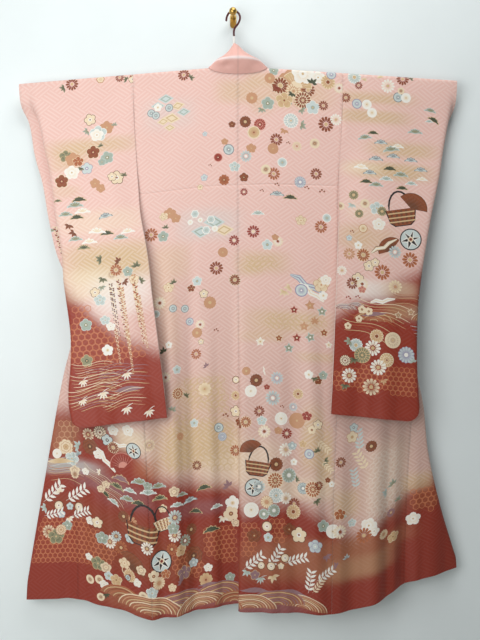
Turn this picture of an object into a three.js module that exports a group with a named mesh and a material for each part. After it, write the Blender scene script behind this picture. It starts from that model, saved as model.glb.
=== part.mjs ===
// A furisode, the long-sleeved silk kimono, spread on a straight kimono hanger that hangs from a brass wall hook.
// Millimetres, +Z up. The garment's back faces -Y, its fronts face the wall at Y = 0, and +X is the right-hand side
// seen from in front. The origin is on the wall, on the axis of the brass peg.
//
// Each body panel is one length of cloth from the back hem over the shoulder to the front hem. The fronts open like
// wings from the side seams: each runs outwards to a soft fold and comes back behind itself, and that fold reaches
// the front edge just at the hem. The sleeves hang before the wings.

import * as THREE from "three";

// Cut sizes
const BODY_LENGTH = 1630; // shoulder to hem
const SHOULDER_HALF = 318; // centre seam to armhole
const NECK_HALF = 90;
const NECK_DIP = 16; // how far the back neckline is cut below the shoulder
const FRONT_WIDTH = 236; // side seam to overlap seam
const FRONT_AT_NECK = SHOULDER_HALF - NECK_HALF;
const OVERLAP_TIP = 225; // depth of the overlap panel's point below the shoulder
const OVERLAP_WIDTH = { tip: 5, collarEnd: 160, hem: 170 };
const COLLAR_END = 840; // depth where the collar stops
const OVER_COLLAR_END = 330;
const COLLAR_WIDTH = 60; // folded in half down the fronts
const SLEEVE_WIDTH = 345;
const SLEEVE_LENGTH = 1036;
const ARMHOLE = 215;
const CUFF_OPENING = 230;
const SLEEVE_CORNER = 38; // radius of the outer lower corner

// Cloth
const WALL = 1.6; // silk and its lining together
const COLLAR_WALL = 2.4;
const SEAM_GAP = 0.3;

// Where the garment hangs
const CENTRE_X = 15;
const SHOULDER_Z = -167;
const HANGER_Y = -38; // the hanger's plane
const FOLD_RADIUS = 8; // of the cloth over the hanger, to the middle of the wall
const SHOULDER_DROP = { left: 48, right: 38 }; // neck point to cuff
const LEFT = { name: "left", sign: -1 };
const RIGHT = { name: "right", sign: 1 };

// Back panels: depth below the shoulder, half width, and the places of the centre and side seams before the wall.
// pleat is 0 where the centre seam lies flat and 2 where the left half is folded right under the right one.
const BACK = {
  left: [
    { depth: 0, width: 318, centreY: -46, sideY: -46, centreX: 0, pleat: 0 },
    { depth: ARMHOLE, width: 311, centreY: -46, sideY: -46, centreX: 0, pleat: 0 },
    { depth: 300, width: 305, centreY: -47, sideY: -46.5, centreX: 0, pleat: 0 },
    { depth: 380, width: 301, centreY: -47, sideY: -48, centreX: 0, pleat: 0 },
    { depth: 700, width: 301, centreY: -52, sideY: -60, centreX: 1, pleat: 0.02 },
    { depth: 1000, width: 300, centreY: -59, sideY: -76, centreX: 3, pleat: 0.3 },
    { depth: 1300, width: 297, centreY: -66, sideY: -92, centreX: 4, pleat: 1.1 },
    { depth: BODY_LENGTH, width: 295, centreY: -74, sideY: -112, centreX: 6, pleat: 1.9 },
  ],
  right: [
    { depth: 0, width: 318, centreY: -46, sideY: -46, centreX: 0, pleat: 0 },
    { depth: ARMHOLE, width: 311, centreY: -46, sideY: -46, centreX: 0, pleat: 0 },
    { depth: 300, width: 305, centreY: -47, sideY: -46.5, centreX: 0, pleat: 0 },
    { depth: 380, width: 301, centreY: -47, sideY: -48, centreX: 0, pleat: 0 },
    { depth: 700, width: 301, centreY: -52, sideY: -58, centreX: 1, pleat: 0.02 },
    { depth: 1000, width: 300, centreY: -59, sideY: -72, centreX: 3, pleat: 0.3 },
    { depth: 1300, width: 297, centreY: -66, sideY: -84, centreX: 4, pleat: 1.1 },
    { depth: BODY_LENGTH, width: 295, centreY: -74, sideY: -96, centreX: 6, pleat: 1.9 },
  ],
};
const PLEAT_REACH = 9; // half width of the centre pleat's bends

// Wings: fold is how far from the side seam the front turns back, foldY that fold's place before the wall,
// behindY where the returned cloth settles, and narrow how much the wing is narrowed by swinging upwards.
const WING = {
  left: [
    { depth: 0, fold: -60, foldY: -44, behindY: -30, narrow: 1 },
    { depth: ARMHOLE, fold: -36, foldY: -42, behindY: -30, narrow: 1 },
    { depth: 270, fold: 4, foldY: -38, behindY: -27, narrow: 1 },
    { depth: 380, fold: 47, foldY: -40, behindY: -26, narrow: 1 },
    { depth: 560, fold: 118, foldY: -42, behindY: -24, narrow: 1 },
    { depth: 740, fold: 186, foldY: -44, behindY: -24, narrow: 0.99 },
    { depth: 935, fold: 255, foldY: -46, behindY: -24, narrow: 0.97 },
    { depth: 1160, fold: 318, foldY: -46, behindY: -24, narrow: 0.95 },
    { depth: 1405, fold: 376, foldY: -42, behindY: -22, narrow: 0.95 },
    { depth: BODY_LENGTH, fold: 420, foldY: -34, behindY: -20, narrow: 0.965 },
  ],
  right: [
    { depth: 0, fold: -60, foldY: -44, behindY: -30, narrow: 1 },
    { depth: ARMHOLE, fold: -36, foldY: -42, behindY: -30, narrow: 1 },
    { depth: 270, fold: 4, foldY: -38, behindY: -27, narrow: 1 },
    { depth: 380, fold: 47, foldY: -40, behindY: -26, narrow: 1 },
    { depth: 560, fold: 120, foldY: -42, behindY: -24, narrow: 1 },
    { depth: 740, fold: 190, foldY: -44, behindY: -24, narrow: 1 },
    { depth: 1030, fold: 272, foldY: -46, behindY: -24, narrow: 0.985 },
    { depth: 1205, fold: 303, foldY: -46, behindY: -24, narrow: 0.97 },
    { depth: 1390, fold: 350, foldY: -42, behindY: -22, narrow: 0.96 },
    { depth: BODY_LENGTH, fold: 420, foldY: -34, behindY: -20, narrow: 0.955 },
  ],
};
const WING_TURN = 7; // half the gap between the wing's two layers
const RIDGE = 16; // length over which the cloth bends at the side seam
// How far the hem is lifted by swinging the wing out, by distance from the side seam.
const HEM_LIFT = {
  left: [
    { across: 0, lift: 0 },
    { across: 120, lift: 20 },
    { across: 236, lift: 31 },
    { across: 420, lift: 17 },
  ],
  right: [
    { across: 0, lift: 0 },
    { across: 80, lift: 6 },
    { across: 155, lift: 26 },
    { across: 236, lift: 62 },
    { across: 420, lift: 110 },
  ],
};

// How much the back hem hangs above its full depth, by distance from the centre seam.
const BACK_LIFT = {
  left: [
    { across: 0, lift: 17 },
    { across: 150, lift: 6 },
    { across: 300, lift: 0 },
  ],
  right: [
    { across: 0, lift: 0 },
    { across: 150, lift: 4 },
    { across: 300, lift: 10 },
  ],
};

// Soft upright folds. at and atHem are distances from the centre seam on the back, or from the side seam on the
// wing; reach is the half width, height the rise towards the viewer at the hem, and from the depth where it starts.
const BACK_FOLDS = {
  left: [
    { at: 196, atHem: 216, reach: 34, height: 15, from: 420 },
    { at: 140, atHem: 152, reach: 32, height: -11, from: 420 },
    { at: 92, atHem: 92, reach: 28, height: 9, from: 620 },
    { at: 250, atHem: 262, reach: 26, height: -7, from: 800 },
  ],
  right: [
    { at: 176, atHem: 256, reach: 36, height: 10, from: 520 },
    { at: 118, atHem: 190, reach: 36, height: -8, from: 600 },
    { at: 62, atHem: 112, reach: 32, height: 7, from: 760 },
  ],
};
const WING_FOLDS = {
  left: [
    { at: 70, atHem: 84, reach: 44, height: -9, from: 760 },
    { at: 150, atHem: 172, reach: 44, height: 10, from: 760 },
    { at: 232, atHem: 268, reach: 40, height: -8, from: 860 },
  ],
  right: [
    { at: 50, atHem: 62, reach: 40, height: -9, from: 760 },
    { at: 118, atHem: 136, reach: 42, height: 15, from: 760 },
    { at: 205, atHem: 236, reach: 40, height: -15, from: 860 },
    { at: 290, atHem: 330, reach: 44, height: 8, from: 1000 },
  ],
};

// Sleeves: inward is how far the body-side edge has swung in, middleY the middle of the bag before the wall,
// turnAt where the outer part turns behind, and back how far it runs back before it turns outwards again.
const SLEEVE = {
  left: [
    { depth: 0, inward: 0, middleY: -38, turnAt: 307, back: 0 },
    { depth: 60, inward: 2, middleY: -39, turnAt: 307, back: 3 },
    { depth: 110, inward: 3, middleY: -40, turnAt: 294, back: 12 },
    { depth: ARMHOLE, inward: 5, middleY: -44, turnAt: 274, back: 19 },
    { depth: 300, inward: 9, middleY: -54, turnAt: 258, back: 29 },
    { depth: 400, inward: 20, middleY: -63, turnAt: 255, back: 33 },
    { depth: 520, inward: 44, middleY: -75, turnAt: 256, back: 36 },
    { depth: 600, inward: 56, middleY: -84, turnAt: 261, back: 50 },
    { depth: 657, inward: 62, middleY: -90, turnAt: 258, back: 65 },
    { depth: 760, inward: 76, middleY: -98, turnAt: 257, back: 95 },
    { depth: 850, inward: 88, middleY: -102, turnAt: 268, back: 119 },
    { depth: 950, inward: 101, middleY: -105, turnAt: 287, back: 135 },
    { depth: SLEEVE_LENGTH, inward: 110, middleY: -108, turnAt: 283, back: 140 },
  ],
  right: [
    { depth: 0, inward: 0, middleY: -38, turnAt: 331, back: 0 },
    { depth: 60, inward: 2, middleY: -39, turnAt: 331, back: 2 },
    { depth: 110, inward: 3, middleY: -40, turnAt: 328, back: 10 },
    { depth: ARMHOLE, inward: 5, middleY: -44, turnAt: 312, back: 30 },
    { depth: 300, inward: 8, middleY: -54, turnAt: 300, back: 48 },
    { depth: 400, inward: 12, middleY: -62, turnAt: 282, back: 75 },
    { depth: 520, inward: 19, middleY: -71, turnAt: 266, back: 105 },
    { depth: 657, inward: 25, middleY: -80, turnAt: 251, back: 130 },
    { depth: 760, inward: 30, middleY: -86, turnAt: 249, back: 150 },
    { depth: 850, inward: 34, middleY: -90, turnAt: 251, back: 150 },
    { depth: 950, inward: 39, middleY: -94, turnAt: 260, back: 150 },
    { depth: SLEEVE_LENGTH, inward: 43, middleY: -98, turnAt: 271, back: 150 },
  ],
};
// How much each sleeve's lower corners are raised by the way it hangs.
const SLEEVE_LIFT = { left: { body: 5, outer: -8 }, right: { body: 10, outer: 0 } };
const SLEEVE_TURN_REACH = 9;
const SLEEVE_RETURN_REACH = 15;
const SLEEVE_HOLLOW = { body: 6, outer: 1.3 }; // half the gap between a sleeve's layers
const SLEEVE_SEAM_HALF = (WALL + SEAM_GAP) / 2;
const SLEEVE_FOLDS = {
  left: [
    { at: 60, atHem: 74, reach: 34, height: 5, from: 420 },
    { at: 128, atHem: 150, reach: 36, height: -6, from: 420 },
    { at: 196, atHem: 222, reach: 30, height: 5, from: 520 },
  ],
  right: [
    { at: 70, atHem: 82, reach: 38, height: -5, from: 420 },
    { at: 150, atHem: 168, reach: 40, height: 6, from: 420 },
  ],
};

// Collar round the back of the neck: the seam, the crease and the free edge at each station from the centre
// outwards, over the shoulder and onto the front.
const COLLAR_STATIONS = [
  { seam: [0, -48.6, -19], crease: [-4, -79, 24], edge: [-12, -47, 73] },
  { seam: [18, -48.6, -18.6], crease: [13, -78, 25], edge: [-1, -47, 68] },
  { seam: [36, -48.6, -17.2], crease: [31, -75, 25], edge: [16, -46, 52] },
  { seam: [54, -48.6, -15], crease: [49, -69, 24], edge: [34, -44, 39] },
  { seam: [70, -48.6, -11], crease: [64, -60, 21], edge: [50, -40, 28] },
  { seam: [83.5, -48.4, -5], crease: [76, -50, 12], edge: [63, -36, 16] },
  { seam: [88.8, -42.6, 1.6], crease: [78, -40, 9], edge: [62, -31, 9] },
  { seam: [88.6, -33.3, -1], crease: [75, -29.4, 3.4], edge: [58, -27.5, 4.5] },
  { seam: [89.2, -29.9, -8], crease: [75, -28.4, -5], edge: [57, -27.5, -4] },
];
const COLLAR_SETTLED = 75; // depth on the front where the collar lies flat

// Wall hook and hanger
const PEG = { neck: 4.5, ball: 12, ballY: -54, foot: 7.5 };
const PLATE = { width: 19, top: 13, bottom: -31, depth: 3.2 };
const HOOK_WIRE = 3.2;
const HANGER_X = 3;
const ARM = { half: 6.2, tall: 20, reach: 590, start: 38, below: 1 };
const HUB = { width: 46, tall: 36, half: 6.6, top: -166 };
const STEM = { low: 6.4, high: 4.7, top: -97 };
const FERRULE = { low: 4.6, high: 3.9, bottom: -96.7, top: -70 };

// Colours seen in the cloth and the fittings
const SILK = { color: 0xf0b9ae, roughness: 0.62, metalness: 0 };
const COLLAR_SILK = { color: 0xe9aca2, roughness: 0.62, metalness: 0 };
const BRASS = { color: 0xb99a4e, roughness: 0.32, metalness: 0.9 };
const DARK_COATING = { color: 0x3d1f26, roughness: 0.4, metalness: 0 };
const WHITE_PLASTIC = { color: 0xe8e6df, roughness: 0.45, metalness: 0 };
const ARM_PLASTIC = { color: 0x6b3d36, roughness: 0.5, metalness: 0 };

// Small mathematics
const mix = (a, b, t) => a + (b - a) * t;
const clamp = (x, low, high) => Math.min(high, Math.max(low, x));
const ease = (low, high, x) => {
  const t = clamp((x - low) / (high - low), 0, 1);
  return t * t * (3 - 2 * t);
};
const sech = (x) => 1 / Math.cosh(x);

// A smooth curve through a table: the value of one column at a place along another.
function read(table, along, column, at) {
  const last = table.length - 1;
  if (at <= table[0][along]) return table[0][column];
  if (at >= table[last][along]) return table[last][column];
  let i = 0;
  while (table[i + 1][along] < at) i += 1;
  const slope = (k) => {
    const a = table[Math.max(k - 1, 0)];
    const b = table[Math.min(k + 1, last)];
    return (b[column] - a[column]) / (b[along] - a[along]);
  };
  const span = table[i + 1][along] - table[i][along];
  const t = (at - table[i][along]) / span;
  const [p, q] = [table[i][column], table[i + 1][column]];
  const [m, n] = [slope(i) * span, slope(i + 1) * span];
  return (
    p + m * t + (3 * (q - p) - 2 * m - n) * t * t + (2 * (p - q) + m + n) * t * t * t
  );
}

// A round-topped ridge and its slope, 1 high and falling to 0 at one reach either side.
const ridge = (x) => (Math.abs(x) < 1 ? (1 - x * x) ** 2 : 0);
const ridgeSlope = (x) => (Math.abs(x) < 1 ? -4 * x * (1 - x * x) : 0);

// How far the shoulder line lies below the neck point.
function shoulderZ(side, x) {
  const run = Math.max(0, x - NECK_HALF) / (SHOULDER_HALF + SLEEVE_WIDTH - NECK_HALF);
  return -SHOULDER_DROP[side.name] * run;
}

function foldGrowth(fold, depth) {
  return ease(fold.from, fold.from + 700, depth);
}

// Heading, in radians from straight outwards, of the folds at a distance across the back.
function foldHeading(folds, across, depth) {
  let slope = 0;
  for (const fold of folds) {
    const at = mix(fold.at, fold.atHem, depth / BODY_LENGTH);
    const height = fold.height * foldGrowth(fold, depth);
    slope -= (height / fold.reach) * ridgeSlope((across - at) / fold.reach);
  }
  return Math.atan(slope);
}

function foldRise(folds, across, depth) {
  let rise = 0;
  for (const fold of folds) {
    const at = mix(fold.at, fold.atHem, depth / BODY_LENGTH);
    rise += fold.height * foldGrowth(fold, depth) * ridge((across - at) / fold.reach);
  }
  return rise;
}

// A level cut through cloth, followed along its length by headings: step by step x and y from its start.
const STEP = 1.5;
function follow(length, heading, start) {
  const points = [{ x: start.x, y: start.y, heading: heading(0) }];
  for (let i = 1; i * STEP <= length + 4 * STEP; i += 1) {
    const angle = heading((i - 0.5) * STEP);
    const before = points[i - 1];
    points.push({
      x: before.x + STEP * Math.cos(angle),
      y: before.y + STEP * Math.sin(angle),
      heading: heading(i * STEP),
    });
  }
  return (across) => {
    const at = clamp(across / STEP, 0, points.length - 1.001);
    const i = Math.floor(at);
    const [a, b] = [points[i], points[i + 1]];
    const t = at - i;
    return {
      x: mix(a.x, b.x, t),
      y: mix(a.y, b.y, t),
      heading: mix(a.heading, b.heading, t),
    };
  };
}

// The angle that a pleat has turned the cloth through, for a sharpness from 0 to 2.
function pleatAngle(sharpness, across, reach) {
  const s = sech(across / reach);
  return Math.acos(clamp(1 - sharpness * s * s, -1, 1));
}

// The back's level cut at a depth, from the centre seam out to the side seam.
const backCuts = new Map();
function backCut(side, depth) {
  const key = `${side.name} ${depth.toFixed(3)}`;
  if (backCuts.has(key)) return backCuts.get(key);
  const at = (column) => read(BACK[side.name], "depth", column, depth);
  const [width, pleat, centreY] = [at("width"), Math.max(0, at("pleat")), at("centreY")];
  const bends = (q) =>
    -side.sign * pleatAngle(pleat, q, PLEAT_REACH) +
    foldHeading(BACK_FOLDS[side.name], q, depth);
  const start = { x: side.sign * at("centreX"), y: centreY };
  const loose = follow(width, bends, start)(width);
  const lean = Math.asin(clamp((at("sideY") - loose.y) / width, -0.5, 0.5));
  const settle = (q) => ease(0, 4 * PLEAT_REACH, q) * (1 + (2 * PLEAT_REACH) / width);
  const cut = follow(width, (q) => bends(q) + lean * settle(q), start);
  const made = { width, cut, edge: cut(width) };
  backCuts.set(key, made);
  return made;
}

const lifted = (table, across, depth) => read(table, "across", "lift", across) * (depth / BODY_LENGTH) ** 2.2;

// Points on the cloth are [distance outwards, y, z] with z measured from the neck point.
function backPoint(side, across, depth) {
  const place = backCut(side, depth).cut(across);
  const lift = lifted(BACK_LIFT[side.name], across, depth);
  return [place.x, place.y, shoulderZ(side, across) - depth + lift];
}

function frontPoint(side, across, depth) {
  const { width, edge } = backCut(side, depth);
  const at = (column) => read(WING[side.name], "depth", column, depth);
  const [fold, foldY] = [at("fold"), at("foldY")];
  const past = across - fold;
  const arc = Math.hypot(past, WING_TURN);
  const out = at("narrow") * (Math.hypot(fold, WING_TURN) - arc);
  const share = 0.5 * (1 + past / arc);
  const reach = Math.max(fold, 30);
  const run = clamp(across / reach, 0, 1.2);
  const turn = Math.tan(edge.heading) - (foldY - edge.y) / reach;
  const leave = turn * RIDGE * (1 - Math.exp(-across / RIDGE)) * (1 - ease(0, 1, run));
  const outwardY =
    mix(edge.y, foldY, run) + leave - foldRise(WING_FOLDS[side.name], across, depth);
  const returnY = mix(foldY + 2 * WING_TURN, at("behindY"), ease(0, 120, past));
  const lift = lifted(HEM_LIFT[side.name], across, depth) + lifted(BACK_LIFT[side.name], width, depth);
  return [
    edge.x + out,
    mix(outwardY, returnY, share),
    shoulderZ(side, width - across) - depth + lift,
  ];
}

const overlapWidth = (depth) =>
  depth < COLLAR_END
    ? mix(OVERLAP_WIDTH.tip, OVERLAP_WIDTH.collarEnd, (depth - OVERLAP_TIP) / (COLLAR_END - OVERLAP_TIP))
    : mix(OVERLAP_WIDTH.collarEnd, OVERLAP_WIDTH.hem, (depth - COLLAR_END) / (BODY_LENGTH - COLLAR_END));

// Width of the front from the side seam to the collar or the front edge.
const frontWidth = (depth) =>
  depth < OVERLAP_TIP
    ? mix(FRONT_AT_NECK, FRONT_WIDTH, depth / OVERLAP_TIP)
    : FRONT_WIDTH + overlapWidth(depth);

// The sleeve's level cut at a depth, from the body side outwards, through the middle of the bag.
const sleeveCuts = new Map();
function sleeveCut(side, depth) {
  const key = `${side.name} ${depth.toFixed(3)}`;
  if (sleeveCuts.has(key)) return sleeveCuts.get(key);
  const at = (column) => read(SLEEVE[side.name], "depth", column, depth);
  const [turnAt, back] = [at("turnAt"), Math.max(0, at("back"))];
  const wide = mix(SLEEVE_TURN_REACH, SLEEVE_RETURN_REACH, ease(400, 680, depth));
  const heading = (w) => {
    const past = w - turnAt;
    return (Math.PI / 2) * (Math.tanh(past / SLEEVE_TURN_REACH) - Math.tanh((past - back) / wide));
  };
  const start = { x: SHOULDER_HALF - at("inward"), y: at("middleY") };
  const cut = follow(SLEEVE_WIDTH, heading, start);
  const made = { cut, turnAt, back };
  sleeveCuts.set(key, made);
  return made;
}

// Half the gap between the layers: over the hanger, in the bag, and closed at the outer and lower seams.
function sleeveHalf(across, depth) {
  const slack = mix(SLEEVE_HOLLOW.body, SLEEVE_HOLLOW.outer, ease(120, 225, across));
  const bag = mix(FOLD_RADIUS, slack, ease(FOLD_RADIUS, 160, depth));
  const seam =
    ease(CUFF_OPENING - 30, CUFF_OPENING + 20, depth) * ease(SLEEVE_WIDTH - 60, SLEEVE_WIDTH - 6, across);
  const hem = ease(SLEEVE_LENGTH - 90, SLEEVE_LENGTH - 6, depth);
  return mix(bag, SLEEVE_SEAM_HALF, Math.max(seam, hem));
}

// layer is -1 for the viewer's side and 1 for the wall's.
function sleevePoint(side, layer, across, depth) {
  const middle = sleeveCut(side, depth).cut(across);
  const half = layer * sleeveHalf(across, depth);
  const rise = foldRise(SLEEVE_FOLDS[side.name], across, depth);
  const { body, outer } = SLEEVE_LIFT[side.name];
  const lift = mix(body, outer, across / SLEEVE_WIDTH) * (depth / SLEEVE_LENGTH) ** 1.5;
  return [
    middle.x - half * Math.sin(middle.heading),
    middle.y + half * Math.cos(middle.heading) - rise,
    shoulderZ(side, SHOULDER_HALF + across) - depth + lift,
  ];
}

// Cloth that passes over the shoulder: along is 0 on top, negative down the back and positive down the front.
const OVER = (FOLD_RADIUS * Math.PI) / 2;
const depthOf = (along) => FOLD_RADIUS + Math.max(0, Math.abs(along) - OVER);
const alongOf = (depth) => depth - FOLD_RADIUS + OVER;
function overShoulder(along, back, front) {
  if (along <= -OVER) return back(depthOf(along));
  if (along >= OVER) return front(depthOf(along));
  const angle = along / FOLD_RADIUS;
  const [a, b] = [back(FOLD_RADIUS), front(FOLD_RADIUS)];
  const t = 0.5 * (1 + Math.sin(angle));
  return [
    mix(a[0], b[0], t),
    HANGER_Y + FOLD_RADIUS * Math.sin(angle),
    mix(a[2], b[2], t) + FOLD_RADIUS * Math.cos(angle),
  ];
}

// Shares of a width at which columns stand, closer together round the given spots.
function columns(count, length, spots, reach, crowding) {
  const samples = 240;
  const total = [0];
  for (let i = 0; i < samples; i += 1) {
    const x = ((i + 0.5) / samples) * length;
    const crowd = spots.reduce((sum, spot) => sum + Math.exp(-(((x - spot) / reach) ** 2)), 0);
    total.push(total[i] + 1 + crowding * crowd);
  }
  const shares = [];
  for (let k = 0; k <= count; k += 1) {
    const want = (total[samples] * k) / count;
    let i = 0;
    while (i < samples - 1 && total[i + 1] < want) i += 1;
    shares.push((i + (want - total[i]) / (total[i + 1] - total[i])) / samples);
  }
  return shares;
}

// A wall of cloth from a grid of places on one smooth sheet. sheet(across, along) gives the point of the middle of
// the wall, and its slopes give the direction in which each skin stands off it.
function clothWall(places, sheet, wall, side, mirrorFrom = places.length) {
  const nudge = 0.6;
  const vertex = [];
  const [rows, across] = [places.length, places[0].length];
  const skin = (place, offset) => {
    const [q, p] = place;
    const v = (a, b) => new THREE.Vector3(...sheet(a, b));
    const e1 = v(q + nudge, p).sub(v(q - nudge, p));
    const e2 = v(q, p + nudge).sub(v(q, p - nudge));
    const normal = e1.cross(e2).normalize().multiplyScalar(offset);
    const at = v(q, p).add(normal);
    vertex.push(side.sign * at.x, at.y, at.z);
  };
  for (const offset of [wall / 2, -wall / 2])
    for (const row of places) for (const place of row) skin(place, offset);
  return new THREE.BufferGeometry()
    .setAttribute("position", new THREE.Float32BufferAttribute(vertex, 3))
    .setIndex(wallFaces(rows, across, side.sign > 0, mirrorFrom));
}

// Triangles of two like grids, back to back, joined round their rim. From the row mirrorFrom on, the cells are
// halved along their other diagonal, so that cloth folded over the shoulder has alike layers.
function wallFaces(rows, across, flip, mirrorFrom = rows) {
  const index = [];
  const grid = rows * across;
  const quad = (a, b, c, d) => index.push(...(flip ? [a, c, b, a, d, c] : [a, b, c, a, c, d]));
  for (let r = 0; r + 1 < rows; r += 1)
    for (let c = 0; c + 1 < across; c += 1) {
      const a = r * across + c;
      const [b, d, e] = [a + 1, a + across, a + across + 1];
      if (r < mirrorFrom) {
        quad(a, d, e, b);
        quad(a + grid, b + grid, e + grid, d + grid);
      } else {
        quad(d, e, b, a);
        quad(b + grid, e + grid, d + grid, a + grid);
      }
    }
  const rim = [];
  for (let c = 0; c < across; c += 1) rim.push(c);
  for (let r = 1; r < rows; r += 1) rim.push(r * across + across - 1);
  for (let c = across - 2; c >= 0; c -= 1) rim.push((rows - 1) * across + c);
  for (let r = rows - 2; r > 0; r -= 1) rim.push(r * across);
  rim.forEach((a, i) => {
    const b = rim[(i + 1) % rim.length];
    quad(a, b, b + grid, a + grid);
  });
  return index;
}

const garment = new THREE.Group();
garment.position.set(CENTRE_X, 0, SHOULDER_Z);
const furisode = new THREE.Group();
furisode.name = "furisode_on_hanger";
furisode.add(garment);

function addMesh(group, name, geometry, finish) {
  const mesh = new THREE.Mesh(geometry, new THREE.MeshStandardMaterial(finish));
  mesh.name = name;
  group.add(mesh);
  return mesh;
}

const HALF_GAP = SEAM_GAP / 2;
const BODY_COLUMNS = 12;
const FRONT_ROWS = [
  24, 75, 140, OVERLAP_TIP, 250, 266, 282, 300, OVER_COLLAR_END, 370, 430, 500, 580, 660, 740, COLLAR_END, 865, 890,
  920, 960, 1020, 1100, 1180, 1260, 1340, 1430, 1510, 1570, 1605, BODY_LENGTH,
];
const BACK_ROWS = [
  BODY_LENGTH, 1570, 1510, 1430, 1340, 1260, 1180, 1100, 1020, 920, COLLAR_END, 740, 660, 580, 500, 430, 370,
  OVER_COLLAR_END, 300, OVERLAP_TIP, 140, 75, 24,
];
const NECK_ROWS = [0, 0.35, 0.62, 0.84, 0.96, 1]; // shares of the way down the back neckline
const NECK_ALONG = alongOf(NECK_DIP);

// One body panel: the back hem, up the back, over the shoulder and down the front to the hem.
function bodyPanel(side) {
  const sheet = (across, along) =>
    overShoulder(
      along,
      (depth) => backPoint(side, backCut(side, depth).width - across, depth),
      (depth) => frontPoint(side, across, depth),
    );
  const places = [];
  const backRow = (along, inner) => {
    const depth = depthOf(along);
    const { width } = backCut(side, depth);
    const span = width - inner - HALF_GAP;
    const crowding = 3.5 * ease(700, 1100, depth);
    const shares = columns(BODY_COLUMNS, span, [span], 3.4 * PLEAT_REACH, crowding);
    places.push(shares.map((share) => [mix(HALF_GAP, span, share), along]));
  };
  for (const depth of BACK_ROWS) backRow(-alongOf(depth), HALF_GAP);
  for (const share of [...NECK_ROWS].reverse()) {
    const inner = NECK_HALF * Math.sqrt(1 - share * share);
    backRow(-NECK_ALONG * share, Math.max(inner, HALF_GAP));
  }
  const frontRow = (along) => {
    const depth = depthOf(along);
    const span = (depth < OVERLAP_TIP ? frontWidth(depth) : FRONT_WIDTH) - HALF_GAP;
    const fold = read(WING[side.name], "depth", "fold", depth);
    const crowding = 7 * ease(ARMHOLE, 360, depth);
    const shares = columns(BODY_COLUMNS, span, [fold], 2.2 * WING_TURN, crowding);
    places.push(shares.map((share) => [mix(HALF_GAP, span, share), along]));
  };
  for (const share of [0.35, 0.7, 1]) frontRow(OVER * share);
  for (const depth of FRONT_ROWS) frontRow(alongOf(depth));
  return clothWall(places, sheet, WALL, side);
}

const OVERLAP_ROWS = FRONT_ROWS.filter((depth) => depth >= OVERLAP_TIP);

// The overlap panel, sewn to the front's inner edge from its point down to the hem.
function overlapPanel(side) {
  const sheet = (across, depth) => frontPoint(side, across, depth);
  const places = OVERLAP_ROWS.map((depth) => {
    const inner = FRONT_WIDTH + HALF_GAP;
    const span = frontWidth(depth) - HALF_GAP - inner;
    const fold = read(WING[side.name], "depth", "fold", depth);
    const crowding = 7 * ease(ARMHOLE, 360, depth);
    const shares = columns(8, span, [fold - inner], 2.2 * WING_TURN, crowding);
    return shares.map((share) => [inner + span * share, depth]);
  });
  return clothWall(places, sheet, WALL, side);
}

// The collar down a front, flat in the same sheet beyond the front edge.
function collarBand(side, from, to) {
  const sheet = (across, depth) => frontPoint(side, across, depth);
  const depths = [from, ...FRONT_ROWS.filter((depth) => depth > from + 1 && depth <= to)];
  const places = depths.map((depth) => {
    const inner = frontWidth(depth) + HALF_GAP;
    return [0, 0.33, 0.67, 1].map((share) => [inner + COLLAR_WIDTH * share, depth]);
  });
  return clothWall(places, sheet, COLLAR_WALL, side);
}

// A point across the collar: 0 at its seam, 1 at its free edge, bent round the crease in the middle.
function acrossCollar(station, share) {
  const t = share;
  const w = [(1 - t) * (1 - t), 2 * t * (1 - t), t * t];
  const pull = station.crease.map((k, i) => 2 * k - 0.5 * (station.seam[i] + station.edge[i]));
  return station.seam.map((s, i) => w[0] * s + w[1] * pull[i] + w[2] * station.edge[i]);
}

// Stations of the over-collar at one side, from the centre of the neck to its end on the front.
function collarStations(side) {
  const flat = (depth) => {
    const point = (share) => frontPoint(side, frontWidth(depth) + HALF_GAP + COLLAR_WIDTH * share, depth);
    return { seam: point(0), crease: point(0.5), edge: point(1) };
  };
  const stations = COLLAR_STATIONS.map((station) => station);
  for (const depth of [FRONT_ROWS[0], ...FRONT_ROWS.filter((d) => d >= COLLAR_SETTLED && d <= OVER_COLLAR_END)])
    stations.push(flat(depth));
  return stations;
}

// The over-collar in one piece: left end, round the back of the neck, right end.
function overCollar() {
  const signed = (station, sign) => {
    const flip = (p) => [sign * p[0], p[1], p[2]];
    return { seam: flip(station.seam), crease: flip(station.crease), edge: flip(station.edge) };
  };
  const left = collarStations(LEFT).slice(1).reverse().map((s) => signed(s, -1));
  const right = collarStations(RIGHT).map((s) => signed(s, 1));
  const stations = [...left, ...right];
  // The peak leans a little to the left, towards the hook.
  stations.forEach((station) => {
    const lean = Math.max(0, (station.edge[2] - 20) / 53);
    if (station.seam[0] < 0) station.edge[0] -= 18 * lean;
  });
  const shares = [0, 0.2, 0.4, 0.5, 0.6, 0.8, 1];
  const sheet = (share, row) => {
    const i = clamp(Math.floor(row), 0, stations.length - 2);
    const [a, b] = [acrossCollar(stations[i], share), acrossCollar(stations[i + 1], share)];
    return a.map((x, k) => mix(x, b[k], row - i));
  };
  const places = stations.map((_, row) => shares.map((share) => [share, row]));
  return gridWall(places, sheet, COLLAR_WALL);
}

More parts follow.
